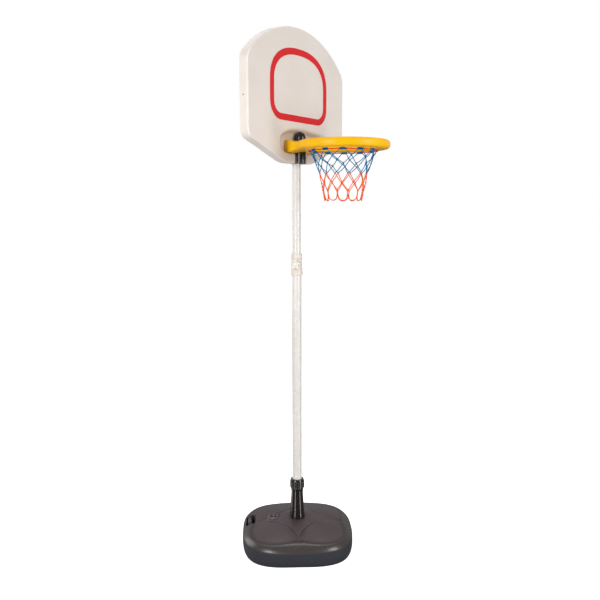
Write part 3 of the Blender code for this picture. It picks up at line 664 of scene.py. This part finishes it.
def make_neck(gloss):
    """Socket tube: a flared foot, a waist and a collar, hollow from above for the collet."""
    low = 0.1100
    collar = NUT_BOTTOM_Z - 0.001
    bell = [(0.0285, low), (0.0300, 0.1140), (0.0322, 0.1172), (0.0330, 0.1210), (0.0326, 0.1260),
            (0.0314, 0.1340), (0.0300, 0.1450), (0.0286, 0.1630), (0.0271, 0.1920), (0.0257, 0.2150),
            (0.0252, 0.2280), (0.0257, 0.2380), (0.0268, 0.2440), (0.0271, collar - 0.003)]
    profile = [(p.x, p.y) for p in smooth_curve([(r, z, 0) for r, z in bell], 5)]
    profile += rounded([(0.0271, collar - 0.003), (0.0271, collar), (0.0260, collar + 0.0004),
                        (0.0260, 0.2780), (0.0238, 0.2780), (0.0236, 0.2560), (0.0207, 0.2520),
                        (0.0207, 0.2100)], 0.0006)[1:]
    neck = to_object("neck", turned(profile, 96), gloss, "base")
    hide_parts("socket_tube")


def make_nut(gloss):
    """Ribbed collet nut, its flutes dying out below a chamfered top."""
    inside = LOWER_R + 0.0006
    outside = [(0.0265, NUT_BOTTOM_Z), (NUT_R - 0.0008, NUT_BOTTOM_Z), (NUT_R, NUT_BOTTOM_Z + 0.0012)]
    outside += [(NUT_R, NUT_BOTTOM_Z + 0.002 + 0.0025 * i) for i in range(10)]
    outside += [(NUT_R - 0.0002, NUT_TOP_Z - 0.0120), (NUT_R - 0.0012, NUT_TOP_Z - 0.0080),
                (NUT_R - 0.0026, NUT_TOP_Z - 0.0035), (NUT_R - 0.0040, NUT_TOP_Z - 0.0006),
                (NUT_R - 0.0052, NUT_TOP_Z), (inside + 0.0014, NUT_TOP_Z),
                (inside, NUT_TOP_Z - 0.0012), (inside, NUT_TOP_Z - 0.0070), (0.0262, NUT_TOP_Z - 0.0072)]
    middle = (NUT_BOTTOM_Z + NUT_TOP_Z - 0.010) / 2
    half = (NUT_TOP_Z - 0.010 - NUT_BOTTOM_Z) / 2

    def fluted(angle, r, z):
        if r < NUT_R - 0.0035:
            return r
        along = max(0.0, 1.0 - abs((z - middle) / half) ** 6)
        groove = max(0.0, math.cos(14 * angle)) ** 1.5
        return r - 0.0019 * along * groove

    nut = to_object("nut", turned(outside, 168, fluted), gloss, "collet_nut")
    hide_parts("collet_nut")


def make_tubes(paint):
    """Tubes with rolled ends; the lower one runs from its foot plug to the clamp collar."""
    for name, cad, radius, body in (("pole_lower", "lower_tube", LOWER_R, "lower_pole"),
                                    ("pole_upper", "upper_tube", UPPER_R, "upper_pole")):
        low, high = (v.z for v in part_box(cad))
        wall = radius - TUBE_WALL
        profile = [(wall, high - 0.03), (wall, high - 0.001), (wall + 0.0003, high), (radius - 0.0003, high)]
        profile += [(radius, z) for z in np.linspace(high - 0.002, low + 0.002, 24)]
        profile += [(radius - 0.0003, low), (wall + 0.0003, low), (wall, low + 0.001), (wall, low + 0.03)]
        tube = to_object(name, turned(profile, 72, closed=True), paint, body)
        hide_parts(cad)


def make_collar(cream):
    """Clamp collar with a stepped band at each end and a soft boss where the knob screws in."""
    low, high = COLLAR_BOTTOM_Z, COLLAR_TOP_Z
    bore = LOWER_R + 0.0003
    steps = [(bore, low), (0.0242, low), (0.0248, low + 0.001), (0.0250, low + 0.006),
             (0.0247, low + 0.012), (0.0238, low + 0.018), (0.0230, low + 0.026), (0.0226, low + 0.034),
             (0.0225, high - 0.030), (0.0225, high - 0.0215), (0.0228, high - 0.0195),
             (0.0234, high - 0.0185), (0.0235, high - 0.016), (0.0235, high - 0.002),
             (0.0231, high - 0.0006), (0.0225, high), (UPPER_R + 0.0010, high),
             (UPPER_R + 0.0003, high - 0.0008), (UPPER_R + 0.0003, LOWER_TOP_Z + 0.002),
             (bore, LOWER_TOP_Z)]
    profile = []
    for (r0, z0), (r1, z1) in zip(steps, steps[1:]):
        pieces = max(1, int(math.hypot(r1 - r0, z1 - z0) / 0.0016))
        profile += [(r0 + (r1 - r0) * k / pieces, z0 + (z1 - z0) * k / pieces) for k in range(pieces)]
    profile.append(steps[-1])

    def bossed(angle, r, z):
        if r < 0.0222:
            return r
        across = 0.0225 * math.remainder(angle - KNOB_TURN, TAU)
        away = math.hypot(across, (z - KNOB_Z) * 0.94)
        rise = 1.0 / (1.0 + math.exp((away - 0.0118) / 0.0009))
        flat = 0.0285 / max(math.cos(across / 0.0225), 0.5)
        return r + (flat - r) * rise

    collar = to_object("collar", turned(profile, 240, bossed), cream, "lower_pole")
    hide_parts("clamp_collar")


def make_knob(ivory):
    """Five-lobed hand knob with a dished face and a cap over the stud."""
    profile = [(0.0040, 0.0290), (0.0095, 0.0290), (0.0100, 0.0296), (0.0108, 0.0335), (0.0130, 0.0342),
               (0.0175, 0.0342), (0.0198, 0.0350), (0.0208, 0.0368), (0.0210, 0.0400), (0.0208, 0.0440),
               (0.0198, 0.0462), (0.0182, 0.0474), (0.0160, 0.0475), (0.0135, 0.0468), (0.0105, 0.0462),
               (0.0088, 0.0464), (0.0082, 0.0474), (0.0070, 0.0478), (0.0002, 0.0479)]

    def lobed(angle, r, z):
        share = max(0.0, min(1.0, (r - 0.0100) / 0.0060))
        wave = 0.5 - 0.5 * math.cos(5 * angle)
        return r - 0.0082 * share * (1.0 - wave ** 0.75)

    bm = turned(profile, 160, lobed)
    rotation = Matrix.Rotation(KNOB_TURN, 3, "Z") @ Matrix.Rotation(math.pi / 2, 3, "Y")
    knob = to_object("knob", placed(bm, (0, 0, KNOB_Z), rotation), ivory, "star_knob")
    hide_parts("star_knob")


def make_head(gloss):
    """Locking post with a domed end, joined to the cap over the pole's top."""
    low = HEAD_BOTTOM_Z
    profile = [(0.0002, low), (HEAD_R - 0.001, low), (HEAD_R, low + 0.001), (HEAD_R, low + 0.030),
               (HEAD_R, HEAD_TOP_Z - HEAD_DOME - 0.01)]
    profile += [(HEAD_R * math.cos(a), HEAD_TOP_Z - HEAD_DOME + HEAD_DOME * math.sin(a))
                for a in np.linspace(0.0, 0.497 * math.pi, 18)]
    head = to_object("head_post", placed(turned(profile, 96), (0, HEAD_Y, 0)), gloss)
    rear = [polar(HEAD_R, a) for a in np.linspace(0, math.pi, 33)]
    rear += [(-HEAD_R, HEAD_Y), (HEAD_R, HEAD_Y)]
    cut(head, loft([[(x, y, z) for x, y in rear] for z in (low, HEAD_REAR_TOP_Z)]), "UNION")
    cut(head, turned([(UPPER_R + 0.0003, low - 0.01), (UPPER_R + 0.0003, 1.6883)], 72))
    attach(head, "upper_pole")
    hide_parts("pole_head")


# ---------------- backboard

def board_outline():
    """Front outline of the board as closely spaced (x, z) points, corners rounded."""
    rise = ARCH_TOP_Z - ARCH_SPRING_Z
    radius = (BOARD_HALF ** 2 + rise ** 2) / (2 * rise)
    centre = ARCH_TOP_Z - radius
    spring = math.asin((ARCH_SPRING_Z - centre) / radius) + 0.16
    arch = [(radius * math.cos(a), centre + radius * math.sin(a))
            for a in np.linspace(spring, math.pi - spring, 60)]
    right = rounded([(0.0, BOTTOM_Z), (BOTTOM_HALF, BOTTOM_Z), (BOARD_HALF, CHAMFER_Z),
                     (BOARD_HALF, ARCH_SPRING_Z), arch[0]], 0.030, 8)[:-1]
    return right + arch + [(-x, z) for x, z in right[:0:-1]]


def ray_outline(path, centre, angles):
    """Distance from a centre to the outline in each direction."""
    closed = np.array(path + path[:1]) - np.array(centre)
    t, dense = np.linspace(0, 1, len(closed)), np.linspace(0, 1, 6000)
    xs, zs = (np.interp(dense, t, closed[:, k]) for k in (0, 1))
    return np.interp(angles, np.arctan2(zs, xs), np.hypot(xs, zs), period=TAU)


def front_depth(x, z):
    """How far the board's face is set back from its front plane: the pocket, then the channel."""
    dz = z - POCKET_Z
    power, half_z = (2.0, POCKET_RISE) if dz > 0 else (4.0, POCKET_FOOT)
    reach = POCKET_HALF + (POCKET_SCOOP * step(dz, -0.02, 0.01) if x > 0.0 else 0.0)
    size = (abs(x / reach) ** power + abs(dz / half_z) ** power) ** (1.0 / power)
    away = (size - 1.0) / max(size, 0.05) * math.hypot(x, dz)
    slope = 0.011 + 0.021 * step(dz, 0.0, 0.03) + 0.030 * step(x, 0.02, 0.12)
    share = 1.0 - step(away, -slope, 0.002)
    pocket = (POCKET_Y - FRONT_Y) * share
    channel = 0.0
    if z < POCKET_Z:
        channel = (CHANNEL_Y - FRONT_Y) * (1.0 - step(abs(x), CHANNEL_HALF - 0.012, CHANNEL_HALF + 0.001))
    return max(pocket, channel)


def back_depth(x, z):
    """How far the board's back is set in: the screw sinks and three dimples a side."""
    sink = min(math.hypot(abs(x) - SCREW_X, z - SCREW_Z), 1.0)
    depth = (BACK_Y - SINK_Y) * (1.0 - step(sink, 0.0072, 0.0086))
    for u, w in ((0.20, 1.80), (0.21, 1.93), (0.10, 2.05)):
        away = math.hypot((abs(x) - u) / 1.6, z - w)
        depth = max(depth, 0.0035 * (1.0 - step(away, 0.010, 0.020)))
    return depth


def make_board(plastic):
    angles = np.linspace(-math.pi, math.pi, 420, endpoint=False)
    reach = ray_outline(board_outline(), (0.0, FAN_Z), angles)
    shares = np.linspace(0.02, 1.0, 130) ** 0.85
    parting = 0.5 * (FRONT_Y + BACK_Y)

    def ring(inset, depth_of, share=1.0):
        points = []
        for a, r in zip(angles, reach):
            x, z = polar((r - inset) * share, a)
            points.append((x, depth_of(x, z + FAN_Z), z + FAN_Z))
        return points

    rings = [ring(BOARD_EDGE, lambda x, z: FRONT_Y + front_depth(x, z), s) for s in shares]
    for k in range(1, 9):
        inset, back = (BOARD_EDGE * (1 - v) for v in polar(1.0, math.pi / 2 * (1 - k / 8)))
        rings.append(ring(inset, lambda x, z, b=back: FRONT_Y + front_depth(x, z) + b))
    for offset in (-0.006, -0.0012, -0.0006, 0.0006, 0.0012, 0.006):
        rings.append(ring(0.0, lambda x, z, y=parting + offset: y))
    for k in range(8):
        inset, back = (BOARD_EDGE * (1 - v) for v in polar(1.0, math.pi / 2 * k / 8))
        rings.append(ring(inset, lambda x, z, b=back: BACK_Y - b))
    for s in shares[::-1]:
        rings.append(ring(BOARD_EDGE, lambda x, z: BACK_Y - back_depth(x, z), s))
    board = to_object("board", loft(rings), plastic, sharp=50.0)
    # painted shade: the pocket darkened, most on its upper, downward-facing slope
    shade = []
    for v in board.data.vertices:
        depth = front_depth(v.co.x, v.co.z) / (POCKET_Y - FRONT_Y) if v.co.y < parting else 0.0
        shade.append(step(depth, 0.0, 0.6) * (0.25 + 0.75 * step(v.co.z, 1.690, 1.745)))
    paint_weight(board, "painted_shade", shade)
    vent = placed(turned([(0.0025, -0.02), (0.0025, 0.02)], 32), (-BOARD_HALF, parting, VENT_Z),
                  Matrix.Rotation(math.pi / 2, 3, "Y"))
    cut(board, vent)
    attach(board, "upper_pole")
    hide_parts("backboard")


def target_loop(band):
    """Outline set in by part of the band: a domed top, straight sides, round lower corners."""
    half_x, half_z = TARGET_HALF[0] - band, TARGET_HALF[1] - band
    loop = [superellipse(math.pi * i / 160, half_x, half_z, 2.4) for i in range(161)]
    radius = TARGET_CORNER - band
    for side, start in ((-1, math.pi), (1, 1.5 * math.pi)):
        for k in range(41):
            x, z = polar(radius, start + 0.5 * math.pi * k / 40)
            loop.append((side * (half_x - radius) + x, radius - half_z + z))
    return loop


def make_target(red):
    """Target outline: a thin band with soft edges."""
    face = FRONT_Y - 0.0003
    rings = []
    for band, lift in ((0.0, 0.0), (0.0, 0.0003), (0.0004, 0.0005), (TARGET_BAND - 0.0004, 0.0005),
                       (TARGET_BAND, 0.0003), (TARGET_BAND, 0.0)):
        rings.append([(x, face - lift, TARGET_Z + z) for x, z in target_loop(band)])
    band = to_object("target_band", loft(rings + rings[:1], capped=False), red, "upper_pole",
                     60.0)
    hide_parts("target_outline")


# ---------------- rim

def hoop_point(radius, angle, z):
    """Point at a radius, angle and height about the hoop's own axis."""
    x, y = polar(radius, angle)
    return Vector((x, RIM_Y + y, z))


def rim_ring():
    """The round part of the rim: a ring of flattened, squarish section."""
    mid_r, mid_z = (RIM_OUTER_R + RIM_INNER_R) / 2, (RIM_TOP_Z + RIM_BOTTOM_Z) / 2
    half_w, half_h = (RIM_OUTER_R - RIM_INNER_R) / 2, (RIM_TOP_Z - RIM_BOTTOM_Z) / 2
    section = oval(28, half_w, half_h, 2.9)
    bm = bmesh.new()
    rings = [[bm.verts.new(hoop_point(mid_r + x, TAU * i / 180, mid_z + z)) for x, z in section]
             for i in range(180)]
    for low, high in zip(rings[-1:] + rings, rings):
        for k in range(28):
            bm.faces.new((low[k - 1], low[k], high[k], high[k - 1]))
    return bm


def bracket_half_width(y):
    """Half-width of the bracket: a hollow curve from the board that runs into the ring's outside."""
    reach = RIM_OUTER_R + BRACKET_SWEEP
    centre_y = RIM_Y + math.sqrt(reach ** 2 - (BRACKET_HALF + BRACKET_SWEEP) ** 2)
    meet_y = RIM_Y + (centre_y - RIM_Y) * RIM_OUTER_R / reach
    along = max(centre_y - max(y, meet_y), 0.0)
    sweep = BRACKET_HALF + BRACKET_SWEEP - math.sqrt(BRACKET_SWEEP ** 2 - along ** 2)
    return sweep if y > meet_y else sweep - 0.25 * (meet_y - y)


def make_rim(yellow):
    """Ring and bracket melted into one moulding, with an eye for the locking post."""
    rim = to_object("rim_moulding", rim_ring(), yellow)
    rings = []
    for y in np.linspace(BRACKET_BACK_Y, -0.110, 30):
        thick, near = 1.0 - step(-y, 0.010, 0.055), step(-y, 0.010, 0.080)
        high = RIM_TOP_Z - 0.0004 + (BRACKET_TOP_Z - RIM_TOP_Z + 0.0004) * thick
        low = RIM_BOTTOM_Z + 0.0004 - (RIM_BOTTOM_Z - BRACKET_BOTTOM_Z + 0.0004) * thick
        mid, tall = (high + low) / 2, (high - low) / 2
        side = 0.008 + ((RIM_OUTER_R - RIM_INNER_R) / 2 - 0.008) * near
        middle = bracket_half_width(y) - side
        rings.append([(x + math.copysign(middle, x), y, mid + z)
                      for x, z in oval(64, side, tall, 5.0 - 2.1 * near, 0.5)])
    cut(rim, loft(rings), "UNION")
    flare = RIM_INNER_R + 0.003
    mouth = rounded([(0.0001, 1.64), (flare, 1.64), (RIM_INNER_R, RIM_BOTTOM_Z + 0.006),
                     (RIM_INNER_R, RIM_TOP_Z - 0.006), (flare, 1.73), (0.0001, 1.73)], 0.003)
    cut(rim, placed(turned(mouth, 180), (0, RIM_Y, 0)))
    post = HEAD_R + 0.0008
    eye = [(x, HEAD_Y + y) for x, y in (polar(post, a) for a in np.linspace(math.pi, TAU, 33))]
    eye += [(post, 0.02), (-post, 0.02)]
    cut(rim, loft([[(x, y, z) for x, y in eye] for z in (1.60, 1.80)]))
    remesh = rim.modifiers.new("melt", "REMESH")
    remesh.mode = "VOXEL"
    remesh.voxel_size = 0.0016
    soften = rim.modifiers.new("soften", "SMOOTH")
    soften.factor = 0.5
    soften.iterations = 9
    apply_modifiers(rim, sharp=None)
    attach(rim, "upper_pole")
    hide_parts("rim")


# ---------------- net

def jitter(*seed):
    """Small repeatable number between -1 and 1."""
    value = math.sin(sum(s * k for s, k in zip(seed, (12.9898, 78.233, 37.719)))) * 43758.5453
    return 2.0 * (value - math.floor(value)) - 1.0


def net_knots():
    """Knot places, each row half a mesh on from the last, hanging a little unevenly."""
    rows = []
    for row, (z, radius) in enumerate(NET_ROWS):
        loose = 0.0 if row == 0 else 1.0
        ring = []
        for i in range(NET_MESHES):
            angle = TAU * (i + 0.5 * (row % 2)) / NET_MESHES + loose * 0.070 * jitter(i, row, 1)
            ring.append(hoop_point(radius + loose * 0.0035 * jitter(i, row, 5), angle,
                                   z + loose * 0.0050 * jitter(i, row, 9)))
        rows.append(ring)
    return rows


def outward(point):
    """Level direction away from the hoop's axis."""
    return Vector((point.x, point.y - RIM_Y, 0.0)).normalized()


def sagged(start, stop, sag):
    """Cord between two knots with a little slack, bellied out from the net's axis."""
    middle = (start + stop) / 2
    bent = middle + outward(middle) * 0.0012 + Vector((0, 0, -sag))
    drop = Vector((0, 0, -sag * 0.2))
    return smooth_curve([start, start.lerp(bent, 0.55) + drop, bent, bent.lerp(stop, 0.45) + drop, stop], 3)


def add_knot(bm, centre, size, tilt):
    """Overhand knot: a short fat wrap of cord round the crossing."""
    away = outward(centre)
    side = away.cross(Vector((0, 0, 1))).normalized()
    path = []
    for k in range(19):
        across, out = polar(size, TAU * 1.5 * k / 18 + tilt)
        path.append(centre + side * 0.80 * across + away * 0.62 * out
                    + Vector((0, 0, (k / 18 - 0.5) * 2.2 * size)))
    add_tube(bm, path, CORD_R * 0.95, 7)


def make_net_part(name, cad, first, last, material):
    """The net between two rows of knots, hung from the lacing or ending in its foot loops."""
    rows = net_knots()
    bm = bmesh.new()
    bm.loops.layers.uv.new("UVMap")
    for row in range(first, last):
        for i in range(NET_MESHES):
            for side in (-1, 0):
                j = (i + side + row % 2) % NET_MESHES
                start = rows[row][i]
                if row == 0:
                    z, radius = NET_ROWS[0]
                    spread = (0.080 + 0.015 * jitter(i, side, 4)) * (1 + 2 * side)
                    start = hoop_point(radius, TAU * i / NET_MESHES + spread, z)
                slack = 0.0014 + 0.0010 * jitter(i, j + row, 3)
                add_tube(bm, sagged(start, rows[row + 1][j], slack), CORD_R, 7)
    for row in range(max(first, 1), last + 1):
        tail = 0.0008 if row == NET_CHANGE else 0.0
        for i in range(NET_MESHES):
            centre = rows[row][i] + Vector((0, 0, tail if last == NET_CHANGE else -tail))
            add_knot(bm, centre, 0.0021 if tail else 0.0028, jitter(i, row, 2) * 0.4)
    for i in range(NET_MESHES):
        if first == 0:
            add_hitch(bm, TAU * i / NET_MESHES)
        else:
            add_foot_loop(bm, rows[last][i - 1], rows[last][i], i)
    net = to_object(name, bm, material, "upper_pole", None)
    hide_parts(cad)


def add_foot_loop(bm, start, stop, index):
    """Open loop of cord that hangs between two neighbouring knots of the last row."""
    z, radius = NET_FOOT
    across = stop - start
    middle = (start + stop) / 2
    foot = Vector((0, RIM_Y, z + 0.003 * max(0.0, jitter(index, 4, 7)))) + outward(middle) * radius
    foot += across * 0.08 * jitter(index, 2, 8)
    path = [start]
    for share, fall in ((0.04, 0.45), (0.14, 0.80), (0.32, 0.97), (0.50, 1.0),
                        (0.68, 0.97), (0.86, 0.80), (0.96, 0.45)):
        path.append(start + across * share + (foot - middle) * fall)
    add_tube(bm, smooth_curve(path + [stop], 4), CORD_R, 7)


def add_hitch(bm, angle):
    """Turns of net cord round the lacing cord, where a mesh hangs from it."""
    for wrap in range(-3, 4):
        path = []
        for k in range(15):
            out, up = polar(LACE_CORD + CORD_R, TAU * k / 14)
            path.append(hoop_point(LACE_R + out, angle + wrap * 0.0250 + 0.012 * k / 14,
                                   LACE_Z - 0.0002 + up))
        add_tube(bm, path, CORD_R, 7)


def make_lacing(material):
    """Lacing cord run round under the rim's inner edge, sagging a little between the hitches."""
    path = []
    for i in range(NET_MESHES * 12):
        angle = TAU * i / (NET_MESHES * 12)
        swing = math.cos(NET_MESHES * angle)
        path.append(hoop_point(LACE_R + 0.0008 * swing, angle, LACE_Z + 0.0002 - 0.0007 * (1 - swing)))
    bm = bmesh.new()
    bm.loops.layers.uv.new("UVMap")
    add_tube(bm, path, LACE_CORD, 12, closed=True, lay=0.006)
    lace = to_object("lace", bm, material, "upper_pole", None)
    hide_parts("lacing_cord")


# ---------------- studio

def by_ray(tree, kind, others, chosen):
    """Shader that is one node to rays of a kind, and another node to all other rays."""
    mix = tree.nodes.new("ShaderNodeMixShader")
    is_kind = tree.nodes.new("ShaderNodeLightPath").outputs[kind]
    for source, target in zip((is_kind, others.outputs[0], chosen.outputs[0]), mix.inputs):
        tree.links.new(source, target)
    return mix


def make_floor():
    """Floor that looks white, gives less light than that, and is polished as reflections see it."""
    bpy.ops.mesh.primitive_plane_add(size=60.0)
    floor = bpy.context.object
    floor.name = "studio_floor"
    material, tree, shader = new_material("floor_white")
    cloud = noise(tree, object_coords(tree), 2.0)
    feed(tree, shader, Base_Color=layer(tree, cloud, (0.80, 0.80, 0.80), (0.83, 0.83, 0.83)),
         Roughness=0.9, Specular_IOR_Level=0.0, Emission_Color=(1.0, 1.0, 1.0, 1.0), Emission_Strength=0.80)
    dim = node(tree, "ShaderNodeBsdfDiffuse", Color=(0.55, 0.55, 0.56, 1.0))
    polish = node(tree, "ShaderNodeBsdfAnisotropic", Color=(0.5, 0.5, 0.5, 1.0), Roughness=0.05)
    surface = by_ray(tree, "Is Camera Ray", by_ray(tree, "Is Glossy Ray", dim, polish), shader)
    feed(tree, tree.nodes["Material Output"], Surface=surface.outputs[0])
    floor.data.materials.append(material)


def make_surround():
    """Surround that looks white and gives less light than that, and four soft lights."""
    world = bpy.data.worlds.new("studio")
    bpy.context.scene.world = world
    world.use_nodes = True
    tree = world.node_tree
    white = tree.nodes["Background"]
    feed(tree, white, Color=(1.0, 1.0, 1.0, 1.0), Strength=1.0)
    fill = node(tree, "ShaderNodeBackground", Color=(1.0, 0.99, 0.98, 1.0), Strength=FILL_LIGHT)
    surface = by_ray(tree, "Is Camera Ray", fill, white)
    feed(tree, tree.nodes["World Output"], Surface=surface.outputs[0])
    for name, place, size, power in SOFTBOXES:
        lamp = bpy.data.lights.new(name, "AREA")
        lamp.shape = "RECTANGLE"
        lamp.size, lamp.size_y = size
        lamp.energy = power
        holder = bpy.data.objects.new(name, lamp)
        holder.location = place
        aim = Vector((0, 0, 1.0)) - Vector(place)
        holder.rotation_euler = aim.to_track_quat("-Z", "Y").to_euler()
        bpy.context.scene.collection.objects.link(holder)


def make_camera():
    camera = bpy.data.cameras.new("camera")
    camera.sensor_width = 36.0
    camera.lens = CAMERA_LENS
    holder = bpy.data.objects.new("camera", camera)
    holder.location = CAMERA_PLACE
    holder.rotation_euler = CAMERA_TURN
    bpy.context.scene.collection.objects.link(holder)
    bpy.context.scene.camera = holder
    bpy.context.scene.view_settings.view_transform = "Standard"


def main():
    make_camera()
    base = moulded("base_hdpe", srgb(68, 55, 58), srgb(55, 44, 47), 0.36, 750.0, 0.00008, 0.0002,
                   (55.0, srgb(190, 185, 180)), 0.1, specular=0.7, side=srgb(26, 29, 38))
    gloss = moulded("black_gloss", srgb(26, 15, 16), srgb(19, 11, 12), 0.16, 1200.0, 0.00001,
                    scuffs=0.1, coat=0.45, specular=0.35)
    cap_black = moulded("cap_plastic", srgb(92, 80, 85), srgb(76, 66, 70), 0.34, 900.0, 0.0001)
    rubber = moulded("seal_rubber", srgb(30, 30, 30), srgb(22, 22, 22), 0.7)
    cream = moulded("cream_abs", srgb(222, 213, 203), srgb(210, 199, 187), 0.40, 1000.0, 0.00008)
    ivory = moulded("knob_abs", srgb(224, 221, 213), srgb(214, 210, 200), 0.36, 1000.0, 0.00008)
    # the board's last colour is the painted shade in its pocket
    white = moulded("board_hdpe", srgb(226, 218, 211), srgb(221, 212, 204), 0.50, 650.0, 0.00016, 0.0002,
                    painted_shade=srgb(194, 176, 163))
    red = moulded("target_red", srgb(216, 0, 16), srgb(204, 0, 14), 0.45, 800.0, 0.0001, specular=0.15)
    yellow = moulded("rim_yellow", srgb(244, 188, 0), srgb(234, 172, 0), 0.36, 800.0, 0.0001, 0.0003,
                     specular=0.22)
    paint = painted("pole_white", srgb(218, 214, 209), srgb(208, 204, 198))
    steel = zinc("zinc_plate")
    blue = twisted_cord("cord_blue", srgb(0, 122, 176), srgb(0, 78, 128))
    orange = twisted_cord("cord_orange", srgb(252, 104, 0), srgb(214, 66, 0))
    red_cord = twisted_cord("cord_red", srgb(246, 68, 22), srgb(190, 34, 12))

    make_base(base)
    make_filler_cap(cap_black)
    make_neck(gloss)
    make_nut(gloss)
    make_tubes(paint)
    make_collar(cream)
    make_knob(ivory)
    make_head(gloss)
    make_board(white)
    make_target(red)
    make_rim(yellow)
    make_lacing(red_cord)
    make_net_part("net_blue", "net_upper", 0, NET_CHANGE, blue)
    make_net_part("net_orange", "net_lower", NET_CHANGE, len(NET_ROWS) - 1, orange)
    carried = {"collet_sleeve": base, "foot_plug": base, "glide_plug": base, "cap_gasket": rubber,
               "clamp_nut": steel, "clamp_stud": steel, "rim_screw_left": steel,
               "rim_screw_right": steel, "rim_washer_left": steel, "rim_washer_right": steel}
    for name, material in carried.items():
        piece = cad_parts[name]
        piece.data.materials.clear()
        piece.data.materials.append(material)
    make_floor()
    make_surround()


main()
